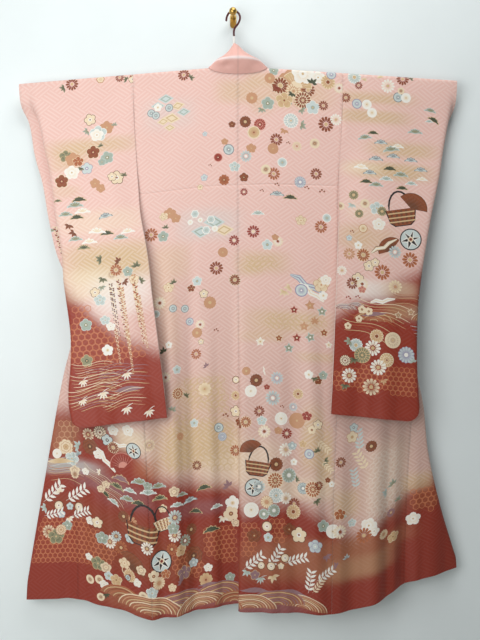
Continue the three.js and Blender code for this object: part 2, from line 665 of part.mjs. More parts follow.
// A wall like clothWall, for a sheet whose coordinates are shares and rows and not millimetres.
function gridWall(places, sheet, wall) {
  const [rows, across] = [places.length, places[0].length];
  const at = (r, c) => new THREE.Vector3(...sheet(...places[clamp(r, 0, rows - 1)][clamp(c, 0, across - 1)]));
  const vertex = [];
  for (const offset of [wall / 2, -wall / 2])
    for (let r = 0; r < rows; r += 1)
      for (let c = 0; c < across; c += 1) {
        const e1 = at(r, c + 1).sub(at(r, c - 1));
        const e2 = at(r + 1, c).sub(at(r - 1, c));
        const normal = e1.cross(e2).normalize().multiplyScalar(offset);
        const point = at(r, c).add(normal);
        vertex.push(point.x, point.y, point.z);
      }
  return new THREE.BufferGeometry()
    .setAttribute("position", new THREE.Float32BufferAttribute(vertex, 3))
    .setIndex(wallFaces(rows, across, true));
}

// One sleeve: a single length of cloth folded over the hanger, its outer and lower edges sewn together.
const SLEEVE_ROWS = {
  left: [24, 60, 100, 140, 180, 215, 260, 310, 370, 440, 520, 585, 635, 665, 690, 712, 734, 756, 780, 810, 860, 930],
  right: [24, 60, 90, 115, 135, 155, 175, 195, 215, 240, 280, 330, 390, 460, 540, 620, 700, 780, 860, 940],
};
const SLEEVE_END_ROWS = [SLEEVE_LENGTH - 38, SLEEVE_LENGTH - 14, SLEEVE_LENGTH];
function sleeve(side) {
  const sheet = (across, along) =>
    overShoulder(
      along,
      (depth) => sleevePoint(side, -1, across, depth),
      (depth) => sleevePoint(side, 1, across, depth),
    );
  const places = [];
  const row = (along) => {
    const depth = depthOf(along);
    const low = Math.max(0, depth - (SLEEVE_LENGTH - SLEEVE_CORNER));
    const rounded = SLEEVE_CORNER - Math.sqrt(Math.max(0, SLEEVE_CORNER ** 2 - low ** 2));
    const span = SLEEVE_WIDTH - rounded - HALF_GAP;
    const { turnAt, back } = sleeveCut(side, depth);
    const spots = [turnAt, turnAt + back];
    const crowding = 9 * ease(60, ARMHOLE, depth);
    const shares = columns(13, span, spots, 1.5 * SLEEVE_TURN_REACH, crowding);
    places.push(shares.map((share) => [mix(HALF_GAP, span, share), along]));
  };
  const depths = [...SLEEVE_ROWS[side.name], ...SLEEVE_END_ROWS];
  for (const depth of [...depths].reverse()) row(-alongOf(depth));
  for (const share of [-1, -0.5, 0, 0.5, 1]) row(OVER * share);
  for (const depth of depths) row(alongOf(depth));
  return clothWall(places, sheet, WALL, side, Math.floor(places.length / 2));
}

// Hanger and wall hook
function roundedBar(width, tall, depth, corner) {
  const [w, t] = [width / 2, tall / 2];
  const shape = new THREE.Shape();
  shape.moveTo(-w + corner, -t);
  shape.lineTo(w - corner, -t);
  shape.absarc(w - corner, -t + corner, corner, -Math.PI / 2, 0);
  shape.lineTo(w, t - corner);
  shape.absarc(w - corner, t - corner, corner, 0, Math.PI / 2);
  shape.lineTo(-w + corner, t);
  shape.absarc(-w + corner, t - corner, corner, Math.PI / 2, Math.PI);
  shape.lineTo(-w, -t + corner);
  shape.absarc(-w + corner, -t + corner, corner, Math.PI, 1.5 * Math.PI);
  return new THREE.ExtrudeGeometry(shape, { depth, bevelEnabled: false, curveSegments: 4 });
}

// An arm lies just under the shoulder fold, sloping with it, from the hub to near the cuff.
function hangerArm(side) {
  const run = SHOULDER_HALF + SLEEVE_WIDTH - NECK_HALF;
  const slope = Math.atan(SHOULDER_DROP[side.name] / run);
  const length = (ARM.reach - ARM.start) / Math.cos(slope);
  const bar = roundedBar(ARM.tall, 2 * ARM.half, length, ARM.half - 0.1);
  bar.rotateY((side.sign * Math.PI) / 2).rotateX((side.sign * Math.PI) / 2 - Math.PI / 2);
  bar.rotateY(side.sign * slope);
  const top = -WALL / 2 - ARM.below + Math.tan(slope) * (NECK_HALF - ARM.start);
  return bar.translate(side.sign * ARM.start, HANGER_Y, top - ARM.tall / 2);
}

// The hub between the arms, with a tapered stem that rises inside the collar.
function hub() {
  const block = roundedBar(HUB.width, HUB.tall, 2 * HUB.half, 9);
  block.rotateX(Math.PI / 2);
  return block.translate(HANGER_X, HANGER_Y + HUB.half, HUB.top - HUB.tall / 2);
}

function stem() {
  const made = lathe(
    [
      [0, HUB.top + SEAM_GAP],
      [STEM.low, HUB.top + SEAM_GAP],
      [STEM.high, STEM.top],
      [0, STEM.top],
    ],
    20,
  );
  return made.rotateX(Math.PI / 2).translate(HANGER_X, HANGER_Y, 0);
}

const hookCurve = new THREE.CatmullRomCurve3(
  [
    [-20.7, -23],
    [-19, -11],
    [-12.5, 1.2],
    [-2, 8.2],
    [10, 6.4],
    [19.4, -4],
    [21.2, -16],
    [15.4, -31],
    [4.6, -45.5],
    [2.4, -58],
    [3, FERRULE.top + 0.3],
  ].map(([x, z]) => new THREE.Vector3(x, HANGER_Y, z)),
);

function hook() {
  const section = new THREE.Shape().absarc(0, 0, HOOK_WIRE, 0, 2 * Math.PI);
  return new THREE.ExtrudeGeometry(section, {
    steps: 26,
    extrudePath: hookCurve,
    curveSegments: 5,
    bevelEnabled: false,
  });
}

const lathe = (profile, segments) =>
  new THREE.LatheGeometry(
    profile.map(([r, y]) => new THREE.Vector2(r, y)),
    segments,
  );

function ferrule() {
  const made = lathe(
    [
      [0, FERRULE.bottom],
      [FERRULE.low, FERRULE.bottom],
      [FERRULE.low, FERRULE.bottom + 10],
      [FERRULE.high, FERRULE.top - 3],
      [FERRULE.high - 0.8, FERRULE.top],
      [0, FERRULE.top],
    ],
    20,
  );
  return made.rotateX(Math.PI / 2).translate(HANGER_X, HANGER_Y, 0);
}

function peg() {
  const profile = [
    [0, -PLATE.depth - SEAM_GAP],
    [PEG.foot, -PLATE.depth - SEAM_GAP],
    [PEG.foot, -PLATE.depth - 2.5],
    [PEG.neck, -PLATE.depth - 5.5],
  ];
  const start = Math.asin(PEG.neck / PEG.ball);
  for (let i = 0; i <= 10; i += 1) {
    const angle = mix(start, Math.PI, i / 10);
    profile.push([PEG.ball * Math.sin(angle), PEG.ballY + PEG.ball * Math.cos(angle)]);
  }
  profile[profile.length - 1][0] = 0;
  return lathe(profile.reverse(), 20);
}

function plate() {
  const tall = PLATE.top - PLATE.bottom;
  const made = roundedBar(PLATE.width, tall, PLATE.depth, PLATE.width / 2 - 0.1);
  made.rotateX(Math.PI / 2);
  made.translate(0, 0, (PLATE.top + PLATE.bottom) / 2);
  return made;
}

for (const side of [LEFT, RIGHT]) {
  addMesh(garment, `body_panel_${side.name}`, bodyPanel(side), SILK);
  addMesh(garment, `overlap_panel_${side.name}`, overlapPanel(side), SILK);
  addMesh(garment, `sleeve_${side.name}`, sleeve(side), SILK);
  addMesh(garment, `collar_${side.name}`, collarBand(side, OVER_COLLAR_END + SEAM_GAP, COLLAR_END), COLLAR_SILK);
}
addMesh(garment, "over_collar", overCollar(), COLLAR_SILK);
for (const side of [LEFT, RIGHT]) addMesh(garment, `hanger_arm_${side.name}`, hangerArm(side), ARM_PLASTIC);
addMesh(furisode, "hanger_hub", hub(), ARM_PLASTIC);
addMesh(furisode, "hanger_stem", stem(), ARM_PLASTIC);
addMesh(furisode, "hanger_ferrule", ferrule(), WHITE_PLASTIC);
addMesh(furisode, "hanger_hook", hook(), DARK_COATING);
addMesh(furisode, "wall_hook_peg", peg(), BRASS);
addMesh(furisode, "wall_hook_plate", plate(), BRASS);

export default furisode;
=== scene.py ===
# A furisode, the long-sleeved silk kimono, spread on its straight hanger from a brass wall hook with its
# back to the room. The CAD frame gives every place, and the cloth here stands where its solids are.
import math

import bpy
import numpy as np
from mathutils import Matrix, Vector
from mathutils.geometry import delaunay_2d_cdt


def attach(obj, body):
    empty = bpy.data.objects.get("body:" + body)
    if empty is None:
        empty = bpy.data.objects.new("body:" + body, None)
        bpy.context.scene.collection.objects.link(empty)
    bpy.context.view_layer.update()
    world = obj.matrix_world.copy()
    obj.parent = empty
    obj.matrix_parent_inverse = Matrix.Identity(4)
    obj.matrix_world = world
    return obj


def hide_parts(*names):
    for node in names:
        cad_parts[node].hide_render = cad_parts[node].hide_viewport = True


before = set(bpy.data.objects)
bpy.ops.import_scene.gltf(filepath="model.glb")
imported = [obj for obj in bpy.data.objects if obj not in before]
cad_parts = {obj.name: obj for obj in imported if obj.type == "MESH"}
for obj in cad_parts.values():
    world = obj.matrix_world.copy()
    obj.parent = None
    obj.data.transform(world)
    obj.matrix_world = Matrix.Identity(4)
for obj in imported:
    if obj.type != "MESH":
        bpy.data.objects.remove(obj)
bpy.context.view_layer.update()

print("frame loaded with", len(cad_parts), "pieces")

cameraSettings = {"place": (0.0211, -2.346, -0.930), "lens": 42.8, "sensor": 36}
roomSettings = {
    "wallBehind": 0.0012,
    "floorBelow": -2.12,
    "wide": 7.0,
    "wall": (0.81, 0.87, 0.865),
    "floor": (0.58, 0.58, 0.56),
    "air": (0.90, 0.96, 1.0),
    "airStrength": 0.16,
    "view": "Standard",
    "exposure": 0.0,
}
lamps = [
    {
        "name": "windowLight",
        "place": (-1.1, -1.8, -0.66),
        "aim": (-0.78, 0.0, -0.97),
        "size": 2.0,
        "power": 33,
    },
    {
        "name": "ceilingLight",
        "place": (0.25, -1.05, 1.15),
        "aim": (0.26, 0.0, -0.73),
        "size": 1.5,
        "power": 24.5,
    },
]


def addCamera():
    lens = bpy.data.cameras.new("roomView")
    lens.lens = cameraSettings["lens"]
    lens.sensor_width = cameraSettings["sensor"]
    camera = bpy.data.objects.new("roomView", lens)
    camera.location = cameraSettings["place"]
    camera.rotation_euler = (math.radians(90), 0, 0)
    bpy.context.collection.objects.link(camera)
    bpy.context.scene.camera = camera


def addLamp(lamp):
    light = bpy.data.lights.new(lamp["name"], "AREA")
    light.shape = "DISK"
    light.size = lamp["size"]
    light.energy = lamp["power"]
    body = bpy.data.objects.new(lamp["name"], light)
    body.location = lamp["place"]
    beam = Vector(lamp["aim"]) - Vector(lamp["place"])
    body.rotation_euler = beam.to_track_quat("-Z", "Y").to_euler()
    bpy.context.collection.objects.link(body)


addCamera()
bpy.context.scene.view_settings.view_transform = roomSettings["view"]
bpy.context.scene.view_settings.exposure = roomSettings["exposure"]
for lamp in lamps:
    addLamp(lamp)
print("camera and lamps placed")

# The cut of the cloth, in millimetres. Sides are -1 for left and 1 for right, as seen from the room.
cut = {
    "length": 1630,  # shoulder to hem
    "shoulder": 318,  # centre seam to armhole
    "neck": 90,  # half the neck's width
    "neckDip": 16,
    "front": 236,  # side seam to overlap seam
    "overlapTip": 225,  # depth of the overlap's point
    "overlapWide": (5, 160, 170),  # at its point, at the collar's end and at the hem
    "collarEnd": 840,
    "overCollarEnd": 330,
    "collar": 60,
    "armhole": 215,
    "sleeveWide": 345,
    "sleeveLong": 1036,
    "sleeveCorner": 38,
    "cuff": 230,
    "seamGap": 0.15,  # from a seam's middle to the cloth's edge
    "wall": 1.3,
    "collarWall": 2.0,
}
hung = {
    "centre": 15,
    "shoulderZ": -167,
    "hangerY": -38,
    "foldRadius": 8,
    "drop": {-1: 48, 1: 38},  # neck point to cuff
    "foldGrow": 700,  # depth over which a soft fold grows
    "hemCurve": 2.2,  # how late down its length the cloth rises towards its hem
    "sleeveCurve": 1.5,
}
sideNames = {-1: "left", 1: "right"}

# How the back falls: half width, where its centre and side seams stand, and the centre pleat
backBoth = {
    "depth": (0, 215, 300, 380, 700, 1000, 1300, 1630),
    "width": (318, 311, 305, 301, 301, 300, 297, 295),
    "centreY": (-46, -46, -47, -47, -52, -59, -66, -74),
    "centreX": (0, 0, 0, 0, 1, 3, 4, 6),
    "pleat": (0, 0, 0, 0, 0.02, 0.3, 1.1, 1.9),
}
backFall = {
    -1: {**backBoth, "sideY": (-46, -46, -46.5, -48, -60, -76, -92, -112)},
    1: {**backBoth, "sideY": (-46, -46, -46.5, -48, -58, -72, -84, -96)},
}
# Where each front turns back behind itself, measured from the side seam
wingBoth = {
    "foldY": (-44, -42, -38, -40, -42, -44, -46, -46, -42, -34),
    "behindY": (-30, -30, -27, -26, -24, -24, -24, -24, -22, -20),
}
wingFall = {
    -1: {
        **wingBoth,
        "depth": (0, 215, 270, 380, 560, 740, 935, 1160, 1405, 1630),
        "fold": (-60, -36, 4, 47, 118, 186, 255, 318, 376, 420),
        "narrow": (1, 1, 1, 1, 1, 0.99, 0.97, 0.95, 0.95, 0.965),
    },
    1: {
        **wingBoth,
        "depth": (0, 215, 270, 380, 560, 740, 1030, 1205, 1390, 1630),
        "fold": (-60, -36, 4, 47, 120, 190, 272, 303, 350, 420),
        "narrow": (1, 1, 1, 1, 1, 1, 0.985, 0.97, 0.96, 0.955),
    },
}
# How much the hem rises along each front and along the back
wingHemLift = {
    -1: {"across": (0, 120, 236, 420), "lift": (0, 20, 31, 17)},
    1: {"across": (0, 80, 155, 236, 420), "lift": (0, 6, 26, 62, 110)},
}
backHemLift = {
    -1: {"across": (0, 150, 300), "lift": (17, 6, 0)},
    1: {"across": (0, 150, 300), "lift": (0, 4, 10)},
}
# Soft folds: place at the shoulder, place at the hem, half width, rise at the hem, depth where it starts
backFolds = {
    -1: [(196, 216, 34, 15, 420), (140, 152, 32, -11, 420), (92, 92, 28, 9, 620), (250, 262, 26, -7, 800)],
    1: [(176, 256, 36, 10, 520), (118, 190, 36, -8, 600), (62, 112, 32, 7, 760)],
}
wingFolds = {
    -1: [(70, 84, 44, -9, 760), (150, 172, 44, 10, 760), (232, 268, 40, -8, 860)],
    1: [(50, 62, 40, -9, 760), (118, 136, 42, 15, 760), (205, 236, 40, -15, 860), (290, 330, 44, 8, 1000)],
}
sleeveFolds = {
    -1: [(60, 74, 34, 5, 420), (128, 150, 36, -6, 420), (196, 222, 30, 5, 520)],
    1: [(70, 82, 38, -5, 420), (150, 168, 40, 6, 420)],
}
# How the sleeves swing in, and where their outer part turns behind and out again
sleeveFall = {
    -1: {
        "depth": (0, 60, 110, 215, 300, 400, 520, 600, 657, 760, 850, 950, 1036),
        "inward": (0, 2, 3, 5, 9, 20, 44, 56, 62, 76, 88, 101, 110),
        "middleY": (-38, -39, -40, -44, -54, -63, -75, -84, -90, -98, -102, -105, -108),
        "turnAt": (307, 307, 294, 274, 258, 255, 256, 261, 258, 257, 268, 287, 283),
        "back": (0, 3, 12, 19, 29, 33, 36, 50, 65, 95, 119, 135, 140),
    },
    1: {
        "depth": (0, 60, 110, 215, 300, 400, 520, 657, 760, 850, 950, 1036),
        "inward": (0, 2, 3, 5, 8, 12, 19, 25, 30, 34, 39, 43),
        "middleY": (-38, -39, -40, -44, -54, -62, -71, -80, -86, -90, -94, -98),
        "turnAt": (331, 331, 328, 312, 300, 282, 266, 251, 249, 251, 260, 271),
        "back": (0, 2, 10, 30, 48, 75, 105, 130, 150, 150, 150, 150),
    },
}
sleeveLift = {-1: (5, -8), 1: (10, 0)}  # at the hem, by the body and at the outer edge
# Where a sleeve's inner edge lies close to the back: its width, its depths, and the room that it leaves
sleeveClose = {"wide": 80, "from": (40, 110), "to": (520, 330), "offBack": 2.2, "offLayer": 2.5}
# Where a sleeve's two layers close towards each other: across, down from the shoulder, and beside its seams
sleeveRoom = {"slack": (120, 225), "top": 160, "cuff": (-30, 20), "edge": (-60, -6), "hem": (-90, -6)}
bends = {  # how tightly the cloth bends, and half the room inside a sleeve
    "step": 1.5,
    "pleat": 9,
    "wing": 7,
    "ridge": 16,
    "sleeveTurn": 9,
    "sleeveReturn": 15,
    "returnFrom": (400, 680),
    "bagInner": 6,
    "bagOuter": 1.3,
    "bagSeam": 0.95,
}


def blend(a, b, t):
    return a + (b - a) * t


def ease(low, high, x):
    t = np.clip((x - low) / (high - low), 0, 1)
    return t * t * (3 - 2 * t)


def easeBeside(place, span, x):
    return ease(place + span[0], place + span[1], x)


# A column of a table read as a smooth curve through its values
def smoothRead(table, column, at, along="depth"):
    x, v = np.array(table[along], float), np.array(table[column], float)
    at = np.clip(at, x[0], x[-1])
    i = np.clip(np.searchsorted(x, at, side="right") - 1, 0, len(x) - 2)
    low, high = np.maximum(i - 1, 0), np.minimum(i + 2, len(x) - 1)
    span = x[i + 1] - x[i]
    m = (v[i + 1] - v[low]) / (x[i + 1] - x[low]) * span
    n = (v[high] - v[i]) / (x[high] - x[i]) * span
    t = (at - x[i]) / span
    rise = v[i + 1] - v[i]
    return v[i] + m * t + (3 * rise - 2 * m - n) * t**2 + (m + n - 2 * rise) * t**3


def readAll(table, columns, depth):
    return [float(smoothRead(table, name, depth)) for name in columns.split()]


def ridge(x):
    return np.where(np.abs(x) < 1, (1 - x * x) ** 2, 0)


def ridgeSlope(x):
    return np.where(np.abs(x) < 1, -4 * x * (1 - x * x), 0)


def shoulderDrop(side, x):
    run = np.maximum(0, x - cut["neck"]) / (cut["shoulder"] + cut["sleeveWide"] - cut["neck"])
    return -hung["drop"][side] * run


def foldRise(folds, across, depth):
    rise = 0 * across
    for at, atHem, reach, height, start in folds:
        middle = blend(at, atHem, depth / cut["length"])
        grown = height * ease(start, start + hung["foldGrow"], depth)
        rise = rise + grown * ridge((across - middle) / reach)
    return rise


# The same folds as a turn of the cloth's heading
def foldHeading(folds, across, depth):
    slope = 0 * across
    for at, atHem, reach, height, start in folds:
        middle = blend(at, atHem, depth / cut["length"])
        grown = height * ease(start, start + hung["foldGrow"], depth)
        slope = slope - grown / reach * ridgeSlope((across - middle) / reach)
    return np.arctan(slope)


# A level cut through hanging cloth, followed by its heading in short steps
def follow(length, heading, x, y):
    step = bends["step"]
    at = np.arange(0, length + 5 * step, step)
    middle = heading(at[:-1] + step / 2)
    xs = x + step * np.concatenate([[0], np.cumsum(np.cos(middle))])
    ys = y + step * np.concatenate([[0], np.cumsum(np.sin(middle))])
    return at, xs, ys, heading(at)


def onCut(cutLine, at):
    x, y, heading = [np.interp(at, cutLine[0], cutLine[k]) for k in (1, 2, 3)]
    before = np.minimum(at, 0)
    return x + before * np.cos(heading), y + before * np.sin(heading), heading


# The back's level cut at a depth: its width, its line, and its end at the side seam
backCuts = {}


def backCut(side, depth):
    key = (side, round(float(depth), 3))
    if key in backCuts:
        return backCuts[key]
    columns = "width pleat centreY centreX sideY"
    width, pleat, centreY, centreX, sideY = readAll(backFall[side], columns, depth)

    def bent(q):
        sharp = np.clip(1 - max(0, pleat) / np.cosh(q / bends["pleat"]) ** 2, -1, 1)
        return -side * np.arccos(sharp) + foldHeading(backFolds[side], q, depth)

    loose = onCut(follow(width, bent, side * centreX, centreY), width)
    lean = math.asin(max(-0.5, min(0.5, (sideY - loose[1]) / width)))
    settle = lambda q: ease(0, 4 * bends["pleat"], q) * (1 + 2 * bends["pleat"] / width)
    made = follow(width, lambda q: bent(q) + lean * settle(q), side * centreX, centreY)
    backCuts[key] = (width, made, onCut(made, width))
    return backCuts[key]


def hemLift(table, across, depth):
    return smoothRead(table, "lift", across, "across") * (depth / cut["length"]) ** hung["hemCurve"]


def backPoint(side, across, depth):
    x, y, _ = onCut(backCut(side, depth)[1], across)
    z = shoulderDrop(side, across) - depth + hemLift(backHemLift[side], across, depth)
    return np.stack([x, y, z], -1)


def frontPoint(side, across, depth):
    width, _, edge = backCut(side, depth)
    fold, foldY, behindY, narrow = readAll(wingFall[side], "fold foldY behindY narrow", depth)
    turn = bends["wing"]
    past = across - fold
    arc = np.hypot(past, turn)
    out = narrow * (math.hypot(fold, turn) - arc)
    share = 0.5 * (1 + past / arc)
    reach = max(fold, 30)
    run = np.clip(across / reach, 0, 1.2)
    tilt = math.tan(edge[2]) - (foldY - edge[1]) / reach
    leave = tilt * bends["ridge"] * (1 - np.exp(-across / bends["ridge"])) * (1 - ease(0, 1, run))
    outwardY = blend(edge[1], foldY, run) + leave - foldRise(wingFolds[side], across, depth)
    returnY = blend(foldY + 2 * turn, behindY, ease(0, 120, past))
    lift = hemLift(wingHemLift[side], across, depth) + hemLift(backHemLift[side], width, depth)
    z = shoulderDrop(side, width - across) - depth + lift
    return np.stack([edge[0] + out, blend(outwardY, returnY, share), z], -1)


def overlapWidth(depth):
    tip, collarEnd, hem = cut["overlapWide"]
    if depth < cut["collarEnd"]:
        return blend(tip, collarEnd, (depth - cut["overlapTip"]) / (cut["collarEnd"] - cut["overlapTip"]))
    return blend(collarEnd, hem, (depth - cut["collarEnd"]) / (cut["length"] - cut["collarEnd"]))


def frontWidth(depth):
    if depth < cut["overlapTip"]:
        return blend(cut["shoulder"] - cut["neck"], cut["front"], depth / cut["overlapTip"])
    return cut["front"] + overlapWidth(depth)


sleeveCuts = {}


def sleeveCut(side, depth):
    key = (side, round(float(depth), 3))
    if key not in sleeveCuts:
        turnAt, back, inward, middleY = readAll(sleeveFall[side], "turnAt back inward middleY", depth)
        back = max(0, back)
        wide = blend(bends["sleeveTurn"], bends["sleeveReturn"], ease(*bends["returnFrom"], depth))
        turn = lambda w: np.tanh((w - turnAt) / bends["sleeveTurn"]) - np.tanh((w - turnAt - back) / wide)
        made = follow(cut["sleeveWide"], lambda w: math.pi / 2 * turn(w), cut["shoulder"] - inward, middleY)
        sleeveCuts[key] = (made, turnAt, back)
    return sleeveCuts[key]


# Half the room between a sleeve's two layers, closing towards its seams
def sleeveHalf(across, depth):
    slack = blend(bends["bagInner"], bends["bagOuter"], ease(*sleeveRoom["slack"], across))
    bag = blend(hung["foldRadius"], slack, ease(hung["foldRadius"], sleeveRoom["top"], depth))
    below = easeBeside(cut["cuff"], sleeveRoom["cuff"], depth)
    seam = below * easeBeside(cut["sleeveWide"], sleeveRoom["edge"], across)
    hem = easeBeside(cut["sleeveLong"], sleeveRoom["hem"], depth)
    return blend(bag, bends["bagSeam"], np.maximum(seam, hem))


# Where a sleeve's outer fold stands at its lower end
foldLow = {side: min(sleeveFall[side]["turnAt"][-2:]) for side in (-1, 1)}


# How far a sleeve falls short of its full length where its lower corner is rounded
def cornerRise(side, across):
    corner = cut["sleeveCorner"]
    into = np.clip(across - foldLow[side] + corner, 0, corner)
    return corner - np.sqrt(corner**2 - into**2)


# layer is -1 for the side towards the room and 1 for the side towards the wall
def sleevePoint(side, layer, across, depth):
    x, y, heading = onCut(sleeveCut(side, depth)[0], across)
    bag = sleeveHalf(across, depth + cornerRise(side, across) * ease(600, 900, depth))
    half = layer * bag
    body, outer = sleeveLift[side]
    share = depth / cut["sleeveLong"]
    lift = blend(body, outer, across / cut["sleeveWide"]) * share ** hung["sleeveCurve"]
    z = shoulderDrop(side, cut["shoulder"] + across) - depth + lift
    y = y + half * np.cos(heading)
    if layer < 0:
        back = smoothRead(backFall[side], "sideY", depth) - sleeveClose["offBack"]
        close = np.minimum(back, y + 2 * bag - sleeveClose["offLayer"])
        near = ease(sleeveClose["wide"], 0, across) * ease(*sleeveClose["from"], depth)
        y = blend(y, close, near * ease(*sleeveClose["to"], depth))
    y = y - foldRise(sleeveFolds[side], across, depth)
    return np.stack([x - half * np.sin(heading), y, z], -1)


# Cloth over the shoulder: along is 0 on top, negative down the back and positive down the front
overHalf = hung["foldRadius"] * math.pi / 2


def depthOf(along):
    return hung["foldRadius"] + max(0, abs(along) - overHalf)


def alongOf(depth):
    return depth - hung["foldRadius"] + overHalf


def overShoulder(along, back, front):
    radius = hung["foldRadius"]
    if along <= -overHalf:
        return back(depthOf(along))
    if along >= overHalf:
        return front(depthOf(along))
    angle = along / radius
    a, b = back(radius), front(radius)
    place = blend(a, b, 0.5 * (1 + math.sin(angle)))
    place[:, 1] = hung["hangerY"] + radius * math.sin(angle)
    place[:, 2] += radius * math.cos(angle)
    return place


def bodyRow(side, along, across):
    back = lambda depth: backPoint(side, backCut(side, depth)[0] - across, depth)
    return overShoulder(along, back, lambda depth: frontPoint(side, across, depth))


def sleeveRow(side, along, across):
    back = lambda depth: sleevePoint(side, -1, across, depth)
    return overShoulder(along, back, lambda depth: sleevePoint(side, 1, across, depth))
# Dye colours, as seen on the cloth
dyes = {
    "white": (236, 232, 222),
    "cream": (230, 210, 178),
    "rust": (140, 76, 46),
    "brick": (128, 50, 38),
    "orange": (176, 104, 66),
    "copper": (194, 118, 80),
    "tan": (196, 146, 110),
    "gold": (206, 176, 132),
    "olive": (142, 138, 106),
    "pine": (72, 78, 58),
    "sage": (160, 172, 158),
    "mist": (198, 208, 204),
    "grey": (132, 138, 140),
    "lilac": (152, 146, 170),
    "mauve": (146, 112, 116),
    "rose": (208, 140, 124),
    "ink": (46, 38, 38),
    "red": (152, 58, 44),
    "brown": (112, 68, 46),
    "earth": (164, 104, 74),
}
# Each scheme: petal root, petal tip, heart, edge
schemes = {
    "rust": ("brick", "rust", "gold", "cream"),
    "orange": ("rust", "orange", "gold", "cream"),
    "red": ("brick", "red", "cream", "rose"),
    "rose": ("red", "rose", "gold", "cream"),
    "tan": ("tan", "gold", "rust", "cream"),
    "fawn": ("tan", "tan", "gold", "tan"),
    "gold": ("gold", "cream", "tan", "tan"),
    "white": ("cream", "white", "gold", "white"),
    "cream": ("rust", "cream", "gold", "cream"),
    "sage": ("olive", "sage", "white", "mist"),
    "mist": ("sage", "mist", "gold", "white"),
    "grey": ("grey", "mist", "white", "grey"),
    "lilac": ("lilac", "mist", "white", "lilac"),
    "olive": ("pine", "olive", "gold", "gold"),
    "pine": ("pine", "pine", "sage", "gold"),
    "outline": ("white", "cream", "rust", "brown"),
    "ink": ("ink", "mist", "white", "ink"),
    "mauve": ("mauve", "mauve", "gold", "gold"),
    "brown": ("brown", "rust", "gold", "brown"),
}


def linear(colour):
    share = np.array(colour, float) / 255
    return np.where(share <= 0.04045, share / 12.92, ((share + 0.055) / 1.055) ** 2.4)


# A patch of dye: its outline, its colour at the root and at the far end. cover 0 leaves the ground showing.
def patch(outline, inner, outer=None, root=(0, 0), reach=1, cover=1):
    return {
        "outline": np.array(outline, float),
        "inner": linear(dyes[inner]),
        "outer": linear(dyes[outer or inner]),
        "root": np.array(root, float),
        "reach": reach,
        "cover": cover,
    }


petalCuts = {  # half widths along a petal, from root to tip
    "round": ((0, 0.3), (0.45, 0.85), (0.86, 0.8), (1, 0)),
    "notched": ((0, 0.2), (0.5, 0.95), (0.85, 0.9), (1, 0.4), (0.88, 0)),
    "pointed": ((0, 0.6), (0.4, 1), (0.75, 0.7), (1, 0)),
    "leaf": ((0, 0.12), (0.3, 0.9), (0.6, 0.85), (1, 0)),
}


def petal(shape, start, end, wide, turn, x=0, y=0):
    half = [(start + s * (end - start), 0.5 * wide * w) for s, w in petalCuts[shape]]
    line = [(s, -w) for s, w in half if w] + [(s, w) for s, w in reversed(half)]
    c, s = math.cos(turn), math.sin(turn)
    return [(x + a * c - b * s, y + a * s + b * c) for a, b in line]


# The corners of a regular figure, or a circle when they are many
def disc(radius, count, x=0, y=0, tall=1, turn=0):
    angles = [turn + 2 * math.pi * k / count for k in range(count)]
    return [(x + radius * math.cos(a), y + radius * tall * math.sin(a)) for a in angles]


# Petals round a centre, each as wide as its share of the ring
def petalRing(shape, count, start, end, share, scheme, turn=0):
    inner, outer = schemes[scheme][:2]
    wide = 2 * math.pi * end / count * share
    made = []
    for k in range(count):
        angle = turn + 2 * math.pi * k / count
        made.append(patch(petal(shape, start, end, wide, angle), inner, outer, reach=end))
    return made


# A rim of points with notches between them
def star(count, notch, turn):
    line = []
    for k in range(2 * count):
        line += disc(notch if k % 2 else 1, 1, turn=turn + math.pi * k / count)
    return line


def chrysanthemum(scheme):
    heart, edge = schemes[scheme][2:]
    return (
        [patch(star(14, 0.9, math.pi / 14), edge)]
        + petalRing("round", 14, 0.3, 0.95, 0.72, scheme, math.pi / 14)
        + [patch(disc(0.26, 9), heart)]
    )


def openChrysanthemum(scheme):
    return petalRing("round", 12, 0.34, 1, 0.7, scheme) + [patch(disc(0.24, 8), schemes[scheme][2])]


def doubleChrysanthemum(scheme):
    edge = schemes[scheme][3]
    return (
        [patch(disc(1, 22), edge)]
        + petalRing("round", 16, 0.5, 0.96, 0.74, scheme)
        + [patch(disc(0.52, 16), edge)]
        + petalRing("round", 10, 0.16, 0.48, 0.74, scheme)
        + [patch(disc(0.14, 6), schemes[scheme][2])]
    )


def plum(scheme):
    inner, outer, heart, edge = schemes[scheme]
    made = []
    for rim, radius in ((edge, 0.5), (outer, 0.42)):
        for k in range(5):
            angle = math.pi / 2 + 2 * math.pi * k / 5
            made.append(patch(disc(radius, 10, 0.55 * math.cos(angle), 0.55 * math.sin(angle)), rim))
    return made + [patch(disc(0.3, 8), inner), patch(disc(0.14, 6), heart)]


def cherry(scheme):
    heart = patch(disc(0.16, 6), schemes[scheme][2])
    return petalRing("notched", 5, 0.08, 1, 0.78, scheme, math.pi / 2) + [heart]


def bellflower(scheme):
    inner, outer, heart, edge = schemes[scheme]
    rim = star(5, 0.55, math.pi / 2)
    cup = [(0.84 * x, 0.84 * y) for x, y in rim]
    return [patch(rim, edge), patch(cup, inner, outer), patch(disc(0.2, 5), heart)]


def maple(scheme):
    made = []
    for k in range(7):
        angle = math.pi / 2 + (k - 3) * 0.78
        made.append(patch(petal("pointed", 0, 1 - 0.08 * abs(k - 3), 0.34, angle), *schemes[scheme][:2]))
    return made


# A flower seen from behind, with an edge round each petal
def silhouette(scheme):
    inner, outer, heart, edge = schemes[scheme]
    made = []
    for turn in (0.3, 1.6, 2.8, 4.1, 5.3):
        x, y = 0.6 * math.cos(turn), 0.5 * math.sin(turn)
        made.append(patch(disc(0.48, 9, x, y), edge))
        made.append(patch(disc(0.42, 9, x, y), inner, outer, reach=0.9))
    return made + [patch(disc(0.4, 9), outer), patch(disc(0.13, 6), heart)]


